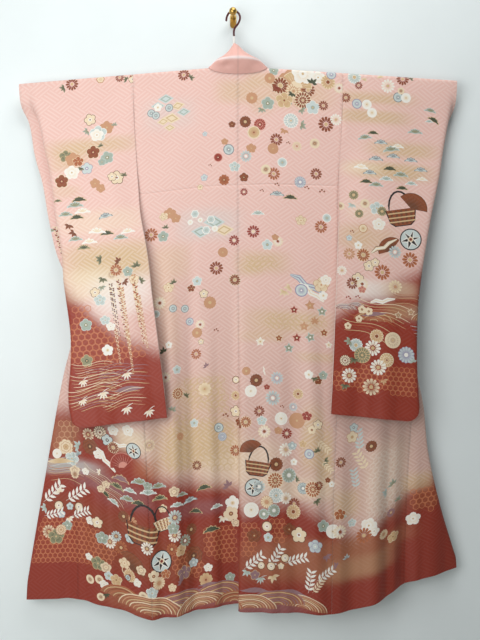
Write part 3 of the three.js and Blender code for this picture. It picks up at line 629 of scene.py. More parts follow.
def peony(scheme):
    inner, outer, heart, edge = schemes[scheme]
    made = []
    for radius, count, spread in ((1, 8, 0.34), (0.66, 6, 0.3), (0.34, 5, 0.2)):
        for dye, grow in ((edge, 0.06), (outer if radius > 0.5 else inner, 0)):
            for k in range(count):
                a = 2 * math.pi * k / count + radius
                x, y = (radius - spread) * math.cos(a), (radius - spread) * math.sin(a)
                made.append(patch(disc(spread + grow, 9, x, y), dye))
    return made + [patch(disc(0.14, 6), heart)]


# A low crown of pine needles
def pineCrown(scheme):
    inner, outer, _, edge = schemes[scheme]
    top = [(1, -0.1), (0.86, 0.16), (0.62, 0.22), (0.5, 0.46), (0.22, 0.46), (0, 0.62)]
    crown = top + [(-x, y) for x, y in reversed(top[:-1])] + [(-0.5, -0.02), (0, -0.1), (0.5, -0.02)]
    made = [patch(crown, edge), patch([(0.84 * x, 0.8 * y + 0.03) for x, y in crown], outer)]
    for k in range(5):
        angle = math.pi / 2 + (k - 2) * 0.5
        made.append(patch(petal("leaf", 0.06, 0.5 + 0.12 * abs(k - 2), 0.13, angle), inner))
    return made


def bambooSpray(scheme):
    made = []
    for angle, long in ((-2.75, 0.9), (-2.2, 1), (-1.65, 0.95), (-1.1, 0.8), (-0.35, 0.75)):
        made.append(patch(petal("leaf", 0.04, long, 0.26, angle), *schemes[scheme][:2], reach=long))
    return made + [patch(stroke([(-0.1, 0), (0.4, 0.25), (0.85, 0.36)], 0.09), schemes[scheme][1])]


def leaves(scheme):
    made = []
    for angle, long in ((0.5, 1), (1.3, 0.85), (2.1, 1), (-0.4, 0.75)):
        made.append(patch(petal("leaf", 0.05, long, 0.42, angle), *schemes[scheme][:2], reach=long))
    return made


# A twig with paired narrow leaves
def twig(scheme):
    made = [patch(stroke([(-1, -0.3), (0, 0), (0.9, 0.5)], 0.05), schemes[scheme][1])]
    for k in range(5):
        x, y = -0.7 + 0.36 * k, -0.2 + 0.15 * k
        for angle in (1.25, -0.55):
            made.append(patch(petal("leaf", 0, 0.6, 0.24, angle, x, y), schemes[scheme][1]))
    return made


def roundel(scheme):
    outer, heart, edge = schemes[scheme][1:]
    made = [patch(disc(1, 16), edge), patch(disc(0.84, 16), outer)]
    return made + petalRing("pointed", 4, 0.05, 0.76, 0.6, scheme, 0.4) + [patch(disc(0.15, 5), heart)]


def hexagonFlower(scheme):
    outer, _, edge = schemes[scheme][1:]
    made = [patch(disc(1, 6), edge), patch(disc(0.8, 6), outer)]
    return made + petalRing("round", 6, 0.1, 0.62, 0.6, scheme)


def lozenge(scheme):
    inner, outer = schemes[scheme][:2]
    return [patch(disc(size, 4, tall=0.6), dye) for size, dye in ((1, outer), (0.72, inner), (0.5, outer))]


# A hand ball wound with coloured thread
def ball(scheme):
    inner, outer, heart = schemes[scheme][:3]
    made = [patch(disc(1, 24), "ink"), patch(disc(0.9, 24), outer)]
    for k in range(3):
        for long, wide, dye in ((0.88, 0.5, heart), (0.8, 0.3, inner)):
            made.append(patch(petal("leaf", -long, long, wide, 0.3 + k * math.pi / 3), dye))
    return made + [patch(disc(0.24, 10), "cream"), patch(disc(0.14, 8), "brick")]


# An open fan with ribs, its pivot below
def fan(scheme):
    inner, outer, _, edge = schemes[scheme]
    angles = [math.radians(a) for a in range(20, 161, 14)]
    at = lambda r, a: (r * math.cos(a), r * math.sin(a) - 0.5)
    leaf = [at(1.2, a) for a in angles] + [at(0.5, a) for a in reversed(angles)]
    rim = [at(0.03, 0.3), at(1.25, angles[0] - 0.04)] + [at(1.25, a) for a in angles[1:]] + [at(0.03, 2.8)]
    made = [patch(rim, edge), patch(leaf, inner, outer, root=(0, -0.5), reach=1.2)]
    for a in angles[1:-1]:
        made.append(patch(petal("leaf", 0.1, 1.2, 0.035, a, 0, -0.5), edge))
    return made


# A woven flower basket with a tall handle
def basket(scheme):
    inner, outer, heart = schemes[scheme][:3]
    handle = [(0.62 * math.cos(a), math.sin(a)) for a in np.linspace(0, math.pi, 11)]
    bowl = [(-0.78, 0.05), (0.78, 0.05), (0.62, -0.62), (0.4, -0.8), (-0.4, -0.8), (-0.62, -0.62)]
    rim = [(1.07 * x, 1.06 * y) for x, y in bowl]
    made = [patch(stroke(handle, 0.1), "ink"), patch(rim, "ink"), patch(bowl, outer)]
    for k in range(5):
        x = -0.56 + 0.28 * k
        stave = [(x - 0.05, 0), (x + 0.07, 0), (0.8 * x + 0.05, -0.74), (0.8 * x - 0.05, -0.74)]
        made.append(patch(stave, inner))
    for y in (-0.1, -0.34, -0.56):
        made.append(patch([(-0.72, y), (0.72, y), (0.7, y - 0.07), (-0.7, y - 0.07)], heart))
    return made


def ribbon(scheme):
    inner, outer, _, edge = schemes[scheme]
    line = [(-1, 0.5), (-0.5, 0.35), (-0.1, -0.1), (0.4, -0.2), (1, -0.55)]
    return [patch(stroke(line, wide), dye) for wide, dye in ((0.36, edge), (0.26, outer), (0.07, inner))]


# Hanging strings of small florets
def wisteria(scheme):
    inner, outer, _, edge = schemes[scheme]
    made = []
    for k in range(26):
        y, wide = 1 - 2 * k / 25, 0.13 * (1 - 0.45 * k / 25)
        for side in (-1, 1):
            floret = petal("leaf", 0, wide * 0.95, wide * 0.55, math.pi / 2 - side * 0.9, 0, y - 0.03)
            made.append(patch(floret, edge if (k + side) % 3 else outer))
        made.append(patch(disc(wide * 0.2, 5, 0, y - 0.02), inner))
    return made


def berries(scheme):
    outer = schemes[scheme][1]
    return [patch(disc(0.3, 6, x, y), outer) for x, y in ((-0.6, 0.1), (0.1, 0.4), (0.6, -0.2))]


# Ripples rising over one another like low hills
def waveHill(scheme):
    inner, outer, heart = schemes[scheme][:3]
    angles = np.linspace(0.02, math.pi - 0.02, 15)
    arc = lambda size: [(size * math.cos(a), 0.5 * size * math.sin(a)) for a in angles]
    made = [patch(arc(1.02), "earth", cover=0.8)]
    for k in range(8):
        made.append(patch(stroke(arc(1 - 0.115 * k), 0.032), (outer, heart, inner)[k % 3]))
    return made


# Long threads of running water
def stream(scheme):
    inner, outer, heart = schemes[scheme][:3]
    made = []
    for k in range(6):
        x = np.linspace(-1 + 0.06 * k, 1 - 0.1 * ((k * 2) % 3), 13)
        line = np.stack([x, 0.3 - 0.12 * k + 0.09 * np.sin(3.1 * x + 0.25 * k)], 1)
        made.append(patch(stroke(line, 0.021), (outer, inner, heart)[k % 3]))
    return made


def waterPool(scheme):
    inner, outer = schemes[scheme][:2]
    top = [(x, 0.2 * math.cos(1.5 * x) * (1 - x * x)) for x in np.linspace(-1, 1, 9)]
    low = [(x, -0.12 * (1 - x * x)) for x in np.linspace(0.75, -0.75, 7)]
    return [patch(top + low, inner, outer)]


# A line of even width along points, pointed at its ends
def stroke(points, wide):
    line = np.array(points, float)
    run = np.gradient(line, axis=0)
    side = np.stack([-run[:, 1], run[:, 0]], 1) / np.hypot(run[:, 0], run[:, 1])[:, None]
    half = np.full(len(line), wide / 2)
    half[[0, -1]] *= 0.35
    return np.concatenate([line + side * half[:, None], (line - side * half[:, None])[::-1]])


motifKinds = {
    "mum": chrysanthemum,
    "openMum": openChrysanthemum,
    "doubleMum": doubleChrysanthemum,
    "plum": plum,
    "cherry": cherry,
    "bellflower": bellflower,
    "maple": maple,
    "silhouette": silhouette,
    "peony": peony,
    "pine": pineCrown,
    "bamboo": bambooSpray,
    "leaves": leaves,
    "twig": twig,
    "roundel": roundel,
    "hexagon": hexagonFlower,
    "lozenge": lozenge,
    "ball": ball,
    "fan": fan,
    "basket": basket,
    "ribbon": ribbon,
    "wisteria": wisteria,
    "berries": berries,
    "waveHill": waveHill,
    "stream": stream,
    "waterPool": waterPool,
}


# Motifs set out on a length of cloth: kind, place across, depth, width, turn in degrees, scheme
def layOut(rows):
    drawn = []
    for kind, x, depth, wide, turn, scheme in rows:
        half, angle = wide / 2, math.radians(turn)
        c, s = math.cos(angle), math.sin(angle)
        turned = np.array([[c, -s], [-s, -c]])
        for item in motifKinds[kind](scheme):
            moved = {name: half * (item[name] @ turned) + (x, depth) for name in ("outline", "root")}
            drawn.append({**item, **moved, "reach": item["reach"] * half})
    return drawn


# A net of hexagons over the ground: an area's corners, a cell's width, and its lines' colour and strength
def hexagonNet(area, wide, line, strength):
    corners = np.array(area, float)
    (left, top), (right, low) = corners.min(0), corners.max(0)
    size, drawn = wide / math.sqrt(3), []
    for row in range(int((low - top) / (1.5 * size)) + 1):
        for column in range(int((right - left) / wide) + 2):
            x = left + wide * (column + 0.5 * (row % 2))
            depth = top + 1.5 * size * row
            if not inside(corners, x, depth):
                continue
            drawn.append(patch(disc(1.01 * size, 6, x, depth, turn=math.pi / 6), line, cover=strength))
            drawn.append(patch(disc(0.8 * size, 6, x, depth, turn=math.pi / 6), line, cover=0.12 * strength))
    return drawn


def inside(corners, x, y):
    a, b = corners, np.roll(corners, -1, 0)
    crosses = (a[:, 1] > y) != (b[:, 1] > y)
    rise = np.where(a[:, 1] == b[:, 1], 1, b[:, 1] - a[:, 1])
    return bool(np.count_nonzero(crosses & (x < a[:, 0] + (y - a[:, 1]) / rise * (b[:, 0] - a[:, 0]))) % 2)
# Motifs: kind, place across from the centre seam (or from the armhole), depth, width, turn, scheme
bodyMotifs = [
    ("openMum", -164, 16, 36, 10, "rust"), ("leaves", -144, 28, 30, -20, "olive"),
    ("lozenge", -218, 84, 48, 0, "mist"), ("lozenge", -182, 108, 45, 10, "gold"),
    ("lozenge", -242, 104, 42, 0, "mist"), ("lozenge", -200, 144, 54, -8, "gold"),
    ("lozenge", -164, 128, 42, 0, "mist"), ("lozenge", -226, 152, 39, 5, "gold"),
    ("lozenge", -206, 172, 36, -4, "gold"), ("roundel", -262, 124, 24, 0, "grey"),
    ("roundel", -248, 132, 24, 30, "grey"), ("roundel", -208, 112, 24, 0, "grey"),
    ("plum", -242, 108, 24, 0, "white"), ("openMum", -262, 492, 42, 0, "orange"),
    ("leaves", -218, 476, 27, 40, "olive"), ("plum", -226, 500, 33, 0, "sage"),
    ("openMum", -66, 608, 42, 0, "rust"), ("silhouette", -206, 432, 36, 0, "fawn"),
    ("silhouette", -188, 448, 30, 0, "fawn"), ("doubleMum", -46, 560, 30, 0, "fawn"),
    ("openMum", -12, 524, 33, 0, "red"), ("mum", -10, 644, 36, 0, "rust"),
    ("silhouette", -224, 440, 27, 20, "gold"), ("plum", -124, 644, 30, 0, "mist"),
    ("silhouette", -142, 664, 24, 0, "rust"), ("plum", -104, 684, 27, 0, "outline"),
    ("mum", -86, 712, 39, 0, "fawn"), ("openMum", -238, 700, 39, 0, "outline"),
    ("roundel", -198, 720, 24, 0, "grey"), ("roundel", -162, 724, 24, 0, "grey"),
    ("silhouette", -210, 656, 33, 0, "gold"), ("leaves", -194, 644, 30, 60, "olive"),
    ("roundel", -250, 732, 24, 0, "mist"), ("roundel", -148, 764, 24, 0, "lilac"),
    ("openMum", -116, 776, 30, 0, "outline"), ("mum", -126, 800, 33, 0, "fawn"),
    ("berries", -68, 796, 18, 0, "rust"), ("plum", -114, 828, 18, 0, "outline"),
    ("openMum", -130, 864, 33, 0, "orange"), ("leaves", -230, 848, 36, 70, "pine"),
    ("plum", -214, 828, 21, 0, "white"), ("plum", -192, 904, 27, 0, "mist"),
    ("openMum", -228, 924, 33, 0, "outline"), ("cherry", -106, 972, 39, 0, "gold"),
    ("doubleMum", -192, 976, 36, 0, "orange"), ("leaves", -166, 988, 30, 0, "olive"),
    ("leaves", -98, 904, 27, 80, "mauve"), ("roundel", -10, 948, 24, 0, "outline"),
    ("mum", -12, 996, 30, 0, "tan"), ("plum", -142, 1072, 27, 0, "mist"),
    ("leaves", -212, 1024, 33, 20, "sage"), ("plum", -12, 1044, 36, 0, "outline"),
    ("berries", -44, 1056, 21, 0, "rust"), ("roundel", -66, 1092, 30, 0, "grey"),
    ("doubleMum", -56, 1120, 27, 0, "lilac"), ("silhouette", 0, 1076, 30, 0, "rust"),
    ("openMum", -138, 1200, 30, 0, "brown"), ("openMum", -16, 1164, 36, 0, "orange"),
    ("openMum", -288, 1120, 36, 0, "cream"), ("cherry", -190, 1104, 24, 0, "fawn"),
    ("lozenge", -72, 468, 66, 0, "mist"), ("lozenge", -42, 492, 60, 5, "gold"),
    ("lozenge", -112, 496, 60, -8, "mist"), ("hexagon", -130, 440, 27, 0, "mist"),
    ("hexagon", -82, 460, 27, 0, "mist"), ("hexagon", -96, 492, 27, 0, "mist"),
    ("hexagon", -144, 464, 18, 0, "white"), ("hexagon", -70, 488, 21, 20, "white"),
    ("roundel", -114, 460, 15, 0, "white"), ("plum", -100, 200, 15, 0, "lilac"),
    ("roundel", -60, 272, 27, 0, "red"), ("silhouette", -40, 224, 21, 0, "fawn"),
    ("roundel", -28, 248, 33, 0, "grey"), ("plum", -102, 332, 21, 0, "lilac"),
    ("cherry", -42, 340, 33, 0, "orange"), ("silhouette", -10, 300, 33, 0, "mist"),
    ("berries", -84, 296, 12, 0, "brown"), ("plum", -114, 360, 18, 0, "gold"),
    ("silhouette", -18, 172, 21, 0, "brown"), ("peony", 164, 44, 84, 0, "fawn"),
    ("mum", 128, 52, 54, 10, "rust"), ("doubleMum", 168, 66, 48, 0, "gold"),
    ("openMum", 212, 60, 42, 0, "brown"),
    ("leaves", 146, 92, 48, 200, "sage"), ("mum", 186, 96, 39, 0, "orange"),
    ("fan", 182, 36, 78, -20, "tan"), ("silhouette", 196, 12, 66, 0, "white"),
    ("silhouette", 242, 20, 42, 0, "white"), ("leaves", 118, 56, 42, 200, "rust"),
    ("leaves", 224, 40, 42, 20, "pine"), ("leaves", 164, 72, 33, 190, "pine"),
    ("plum", 108, 8, 30, 0, "sage"), ("mum", 96, 32, 33, 0, "fawn"), ("mum", 272, 32, 45, 0, "tan"),
    ("roundel", 282, 8, 30, 0, "lilac"), ("openMum", 306, 48, 33, 0, "outline"),
    ("doubleMum", 196, 92, 51, 0, "rust"), ("silhouette", 140, 96, 51, 0, "tan"),
    ("plum", 90, 108, 39, 0, "sage"), ("leaves", 72, 124, 33, 200, "sage"),
    ("plum", 226, 112, 42, 0, "mist"), ("openMum", 258, 104, 30, 0, "rust"),
    ("leaves", 190, 120, 33, 260, "sage"), ("doubleMum", 160, 156, 45, 0, "mist"),
    ("leaves", 190, 168, 39, -60, "sage"), ("leaves", 140, 184, 36, 200, "fawn"),
    ("openMum", 266, 160, 48, 0, "rust"), ("openMum", 296, 144, 36, 0, "white"),
    ("mum", 42, 92, 36, 0, "fawn"), ("mum", 22, 164, 36, 0, "brown"), ("doubleMum", 66, 172, 36, 0, "red"),
    ("roundel", 48, 196, 39, 0, "tan"), ("openMum", 116, 216, 39, 0, "rust"),
    ("doubleMum", 106, 244, 33, 0, "fawn"), ("silhouette", 40, 244, 30, 0, "fawn"),
    ("openMum", 178, 232, 30, 0, "gold"), ("roundel", 232, 220, 30, 0, "cream"),
    ("openMum", 24, 268, 36, 0, "grey"), ("roundel", 134, 284, 30, 0, "mist"),
    ("openMum", 108, 320, 39, 0, "orange"), ("roundel", 84, 308, 30, 0, "cream"),
    ("openMum", 236, 312, 36, 0, "rust"), ("mum", 188, 340, 36, 0, "lilac"),
    ("plum", 18, 332, 27, 0, "brown"), ("berries", 118, 352, 18, 0, "brown"),
    ("berries", 208, 356, 18, 0, "brown"), ("berries", 152, 224, 15, 0, "rust"),
    ("pine", 118, 384, 45, 0, "grey"), ("pine", 158, 392, 45, 0, "pine"),
    ("berries", 72, 372, 15, 0, "rust"), ("berries", 254, 364, 21, 20, "rust"),
    ("pine", 60, 444, 42, 0, "mist"), ("silhouette", 190, 456, 33, 0, "gold"),
    ("roundel", 268, 444, 27, 0, "mist"), ("openMum", 250, 472, 39, 0, "orange"),
    ("openMum", 46, 496, 39, 0, "red"), ("openMum", 18, 376, 24, 0, "red"), ("plum", 88, 536, 33, 0, "mist"),
    ("openMum", 120, 524, 33, 0, "outline"), ("silhouette", 112, 512, 21, 0, "fawn"),
    ("leaves", 138, 672, 42, 200, "gold"), ("leaves", 156, 660, 39, 160, "gold"),
    ("ribbon", 208, 648, 102, 0, "lilac"), ("ribbon", 222, 672, 78, -8, "white"),
    ("silhouette", 250, 648, 48, 0, "gold"), ("silhouette", 264, 632, 33, 0, "white"),
    ("roundel", 190, 668, 39, 20, "lilac"), ("plum", 256, 680, 27, 0, "white"),
    ("berries", 220, 668, 18, 0, "outline"), ("bellflower", 168, 728, 27, 0, "red"),
    ("bellflower", 216, 712, 33, 10, "fawn"), ("bellflower", 252, 728, 33, 0, "sage"),
    ("bellflower", 122, 816, 27, 0, "orange"), ("bellflower", 66, 828, 30, 0, "white"),
    ("bellflower", 176, 812, 30, 0, "red"), ("bellflower", 216, 808, 33, 20, "sage"),
    ("bellflower", 258, 792, 30, 0, "orange"), ("bellflower", 152, 844, 33, 0, "sage"),
    ("bellflower", 272, 828, 24, 0, "white"), ("bellflower", 198, 776, 30, 0, "fawn"),
    ("maple", 230, 760, 33, 0, "fawn"), ("plum", 212, 920, 27, 0, "white"),
    ("plum", 240, 936, 27, 0, "rust"), ("plum", 256, 920, 27, 0, "sage"),
    ("leaves", 228, 928, 30, 230, "olive"), ("mum", 24, 916, 27, 0, "fawn"),
    ("mum", 54, 944, 39, 0, "brown"), ("openMum", 116, 936, 39, 0, "lilac"),
    ("ribbon", 78, 916, 24, -50, "white"), ("silhouette", 86, 964, 18, 0, "red"),
    ("doubleMum", 38, 976, 36, 0, "white"), ("openMum", 104, 996, 45, 0, "grey"),
    ("mum", 180, 980, 33, 0, "tan"), ("openMum", 64, 1036, 33, 0, "rust"),
    ("openMum", 166, 1020, 27, 0, "lilac"), ("doubleMum", 130, 1056, 39, 0, "white"),
    ("doubleMum", 178, 1060, 48, 0, "fawn"), ("silhouette", 208, 1044, 30, 0, "red"),
    ("mum", 24, 1068, 36, 0, "orange"), ("berries", 132, 1020, 15, 0, "rust"),
    ("silhouette", 72, 1064, 30, 0, "mist"), ("openMum", 80, 1096, 39, 0, "outline"),
    ("openMum", 148, 1100, 33, 0, "red"), ("plum", 242, 1068, 30, 0, "outline"),
    ("plum", 224, 1084, 24, 0, "cream"), ("silhouette", 122, 1092, 24, 0, "fawn"),
    ("leaves", 50, 1132, 42, 120, "mist"), ("mum", 118, 1192, 42, 0, "brown"),
    ("openMum", 146, 1148, 42, 0, "white"), ("silhouette", 166, 1136, 27, 0, "grey"),
    ("roundel", 218, 1156, 30, 0, "lilac"), ("silhouette", 198, 1128, 24, 0, "tan"),
    ("plum", 172, 1184, 21, 0, "white"), ("mum", 158, 1224, 45, 0, "sage"),
    ("leaves", 180, 1236, 27, -40, "olive"), ("doubleMum", 116, 1240, 48, 0, "orange"),
    ("ball", 52, 1262, 54, 0, "ink"), ("basket", 64, 1188, 96, -8, "brown"),
    ("fan", 38, 1144, 60, 20, "brown"), ("openMum", 68, 1260, 39, 0, "ink"),
    ("doubleMum", 120, 1284, 45, 0, "mist"), ("openMum", 150, 1292, 36, 0, "white"),
    ("mum", 92, 1304, 39, 0, "gold"), ("openMum", 176, 1308, 36, 0, "rust"),
    ("mum", 174, 1332, 45, 0, "tan"), ("doubleMum", 46, 1328, 45, 0, "white"),
    ("mum", 114, 1328, 39, 0, "sage"), ("mum", 84, 1340, 33, 0, "sage"), ("mum", 202, 1260, 36, 0, "grey"),
    ("doubleMum", 232, 1260, 48, 0, "orange"), ("openMum", 250, 1248, 27, 0, "rust"),
    ("leaves", 242, 1292, 36, 260, "olive"), ("plum", 278, 1232, 18, 0, "rust"),
    ("plum", 290, 1244, 18, 0, "white"), ("leaves", 244, 1148, 33, 60, "olive"),
    ("leaves", 266, 1176, 36, -70, "olive"), ("twig", 258, 1132, 48, -60, "gold"),
    ("twig", 272, 1192, 42, -65, "gold"), ("roundel", 94, 1376, 33, 0, "outline"),
    ("silhouette", 162, 1384, 39, 0, "brown"), ("plum", 192, 1400, 48, 0, "outline"),
    ("silhouette", 56, 1404, 42, 0, "brown"), ("plum", 98, 1408, 27, 0, "mist"),
    ("plum", 266, 1368, 36, 0, "sage"), ("doubleMum", 296, 1384, 42, 0, "white"),
    ("silhouette", 242, 1428, 42, 0, "lilac"), ("leaves", 276, 1456, 39, 250, "mauve"),
    ("twig", 56, 1484, 66, 15, "white"), ("twig", 122, 1468, 66, 35, "white"),
    ("twig", 184, 1476, 66, -5, "white"), ("roundel", 150, 1468, 27, 0, "outline"),
    ("roundel", 108, 1492, 27, 0, "outline"), ("roundel", 78, 1492, 24, 0, "outline"),
    ("plum", 138, 1492, 21, 0, "outline"), ("leaves", 36, 1508, 39, 200, "mist"),
    ("leaves", 112, 1520, 45, 240, "gold"), ("plum", 60, 1520, 30, 0, "mauve"),
    ("bamboo", 78, 1528, 42, 0, "mist"), ("twig", 230, 1536, 66, 60, "white"),
    ("twig", 274, 1516, 60, 10, "white"), ("twig", 252, 1548, 48, 30, "cream"),
    ("waterPool", 60, 1566, 96, 0, "mauve"), ("waterPool", 170, 1572, 110, -8, "mauve"),
    ("twig", 374, 1122, 64, 76, "mist"), ("twig", 384, 1184, 66, 98, "cream"),
    ("twig", 366, 1238, 60, 80, "mist"),
    ("waveHill", 206, 1616, 150, -8, "gold"), ("waveHill", 128, 1606, 168, 0, "mauve"),
    ("waveHill", 46, 1618, 160, 0, "gold"), ("plum", 353, 1080, 27, 0, "grey"),
    ("plum", 349, 1108, 36, 0, "gold"), ("mum", 409, 1144, 36, 0, "brown"),
    ("openMum", 316, 1180, 33, 0, "brown"), ("leaves", 485, 1284, 39, 70, "sage"),
    ("leaves", 463, 1300, 36, 130, "mist"), ("leaves", 503, 1344, 30, 40, "sage"),
    ("openMum", 480, 1372, 27, 0, "mauve"), ("silhouette", 408, 1384, 48, -20, "white"),
    ("silhouette", 424, 1404, 33, -20, "white"), ("silhouette", 554, 1420, 45, 0, "white"),
    ("openMum", 394, 1412, 48, 0, "orange"), ("silhouette", 488, 1452, 36, 0, "tan"),
    ("leaves", 331, 1348, 27, 60, "mist"), ("silhouette", 357, 1368, 27, 0, "mist"),
    ("leaves", 342, 1472, 30, 60, "grey"), ("leaves", 310, 1488, 30, 100, "mauve"),
    ("silhouette", 317, 1336, 36, 0, "orange"), ("openMum", 318, 1388, 42, 0, "outline"),
    ("mum", 456, 1428, 30, 0, "gold"), ("openMum", -481, 1116, 39, 0, "cream"),
    ("peony", -558, 1160, 48, 0, "gold"), ("doubleMum", -588, 1180, 30, 0, "white"),
    ("peony", -477, 1152, 48, 0, "brown"), ("leaves", -514, 1156, 45, 110, "mist"),
    ("leaves", -516, 1184, 39, 80, "grey"), ("silhouette", -540, 1196, 45, -20, "mist"),
    ("doubleMum", -443, 1104, 42, 0, "outline"), ("plum", -421, 1124, 36, 0, "ink"),
    ("silhouette", -401, 1092, 33, 0, "white"), ("silhouette", -353, 1084, 36, 0, "white"),
    ("ribbon", -428, 1184, 78, -22, "white"), ("ribbon", -381, 1132, 60, 30, "white"),
    ("silhouette", -452, 1172, 30, 0, "white"), ("ball", -338, 1142, 48, 20, "ink"),
    ("fan", -380, 1184, 72, 30, "red"), ("leaves", -448, 1224, 27, 120, "white"),
    ("mum", -403, 1144, 36, 0, "rust"), ("stream", -574, 1212, 120, -3, "mist"),
    ("waterPool", -580, 1204, 102, 0, "gold"), ("stream", -562, 1244, 132, -8, "orange"),
    ("stream", -462, 1244, 108, -30, "gold"), ("stream", -413, 1288, 102, -38, "gold"),
    ("silhouette", -496, 1232, 24, 0, "white"), ("silhouette", -532, 1232, 33, 0, "cream"),
    ("cherry", -532, 1244, 27, 0, "cream"), ("pine", -384, 1240, 60, -10, "mauve"),
    ("pine", -399, 1264, 54, -20, "olive"), ("pine", -355, 1268, 45, 0, "mist"),
    ("pine", -435, 1292, 39, -40, "pine"), ("pine", -411, 1312, 42, -30, "mist"),
    ("pine", -322, 1236, 60, 5, "sage"), ("pine", -363, 1296, 54, 0, "sage"),
    ("pine", -327, 1300, 51, 0, "pine"), ("pine", -297, 1264, 54, 0, "mist"),
    ("silhouette", -431, 1260, 24, 0, "cream"), ("silhouette", -447, 1276, 24, 0, "cream"),
    ("silhouette", -298, 1240, 27, 0, "sage"), ("pine", -266, 1248, 51, 0, "sage"),
    ("pine", -262, 1284, 51, 0, "olive"), ("pine", -118, 1272, 51, 10, "pine"),
    ("pine", -164, 1304, 51, 10, "grey"), ("pine", -146, 1340, 45, -10, "pine"),
    ("pine", -80, 1332, 42, 10, "mist"), ("pine", -190, 1280, 39, 0, "sage"),
    ("pine", -208, 1308, 45, 0, "mist"), ("pine", -98, 1400, 57, 8, "pine"),
    ("silhouette", -216, 1264, 33, 0, "cream"), ("silhouette", -254, 1312, 27, 0, "gold"),
    ("leaves", -40, 1272, 45, 80, "mauve"), ("twig", -607, 1304, 78, 20, "white"),
    ("leaves", -583, 1300, 45, 60, "white"), ("twig", -529, 1308, 78, 10, "white"),
    ("leaves", -633, 1344, 42, 150, "mist"), ("roundel", -589, 1340, 30, 0, "outline"),
    ("roundel", -523, 1344, 30, 0, "outline"), ("plum", -553, 1344, 24, 0, "grey"),
    ("plum", -581, 1368, 24, 0, "lilac"), ("twig", -607, 1368, 60, -10, "white"),
    ("twig", -517, 1364, 60, 0, "white"), ("leaves", -558, 1380, 39, 250, "white"),
    ("openMum", -624, 1420, 42, 0, "cream"), ("silhouette", -600, 1436, 51, 0, "olive"),
    ("silhouette", -564, 1404, 33, 0, "sage"), ("doubleMum", -584, 1416, 33, 0, "gold"),
    ("silhouette", -486, 1380, 27, 0, "white"), ("plum", -462, 1380, 36, 0, "outline"),
    ("openMum", -355, 1360, 45, 0, "fawn"), ("mum", -379, 1348, 36, 0, "brown"),
    ("openMum", -424, 1432, 42, 0, "white"), ("openMum", -404, 1412, 33, 0, "mist"),
    ("openMum", -390, 1444, 42, 0, "orange"), ("silhouette", -448, 1424, 39, 0, "sage"),
    ("silhouette", -360, 1408, 33, 0, "grey"), ("silhouette", -492, 1492, 24, 0, "white"),
    ("silhouette", -462, 1504, 45, 0, "olive"), ("silhouette", -438, 1512, 33, 0, "cream"),
    ("basket", -317, 1364, 132, -6, "brown"), ("basket", -254, 1344, 78, 14, "cream"),
    ("ball", -262, 1466, 66, 0, "ink"), ("fan", -352, 1482, 78, -35, "brown"),
    ("openMum", -306, 1424, 39, 0, "white"), ("openMum", -216, 1340, 45, 0, "mist"),
    ("openMum", -218, 1392, 42, 0, "white"), ("silhouette", -222, 1372, 36, 0, "sage"),
    ("openMum", -184, 1416, 39, 0, "sage"), ("mum", -162, 1388, 36, 0, "brown"),
    ("peony", -156, 1468, 54, 0, "brown"), ("silhouette", -200, 1440, 36, 0, "tan"),
    ("openMum", -228, 1432, 36, 0, "orange"), ("plum", -30, 1324, 45, 0, "white"),
    ("plum", -36, 1356, 45, 20, "cream"), ("leaves", -60, 1364, 42, 200, "white"),
    ("silhouette", -22, 1384, 27, 0, "cream"), ("silhouette", -112, 1508, 27, 0, "white"),
    ("silhouette", -190, 1508, 45, 0, "mauve"), ("silhouette", -158, 1488, 30, 0, "grey"),
    ("cherry", -120, 1544, 42, 0, "tan"), ("silhouette", -44, 1548, 30, 0, "sage"),
    ("roundel", -489, 1560, 27, 0, "cream"), ("roundel", -459, 1552, 27, 0, "cream"),
    ("plum", -430, 1536, 27, 0, "mist"), ("silhouette", -407, 1544, 36, 0, "tan"),
    ("silhouette", -445, 1564, 27, 0, "white"), ("roundel", -421, 1576, 27, 0, "cream"),
    ("roundel", -455, 1604, 24, 0, "cream"), ("leaves", -439, 1592, 30, 240, "pine"),
    ("roundel", -374, 1508, 30, 0, "rust"), ("silhouette", -380, 1488, 36, 0, "gold"),
    ("silhouette", -340, 1532, 27, 0, "white"), ("mum", -364, 1520, 39, 0, "tan"),
    ("silhouette", -326, 1492, 30, 0, "cream"), ("silhouette", -294, 1552, 36, 0, "mist"),
    ("roundel", -321, 1568, 30, 0, "cream"), ("mum", -272, 1528, 39, 0, "gold"),
    ("plum", -288, 1504, 33, 0, "cream"), ("silhouette", -250, 1504, 30, 0, "orange"),
    ("silhouette", -230, 1544, 27, 0, "gold"), ("leaves", -200, 1532, 33, 90, "mauve"),
    ("waterPool", -192, 1572, 96, 6, "mauve"), ("waterPool", -104, 1560, 84, 0, "mauve"),
    ("waveHill", -372, 1604, 170, -12, "orange"), ("waveHill", -82, 1598, 168, 4, "mauve"),
    ("waveHill", -214, 1606, 176, 8, "mauve"), ("waveHill", -300, 1618, 204, -4, "gold"),
    ("waveHill", -140, 1620, 156, 8, "gold"), ("waveHill", -34, 1622, 120, 0, "orange"),
    ("roundel", -370, 1528, 18, 0, "ink"),
]
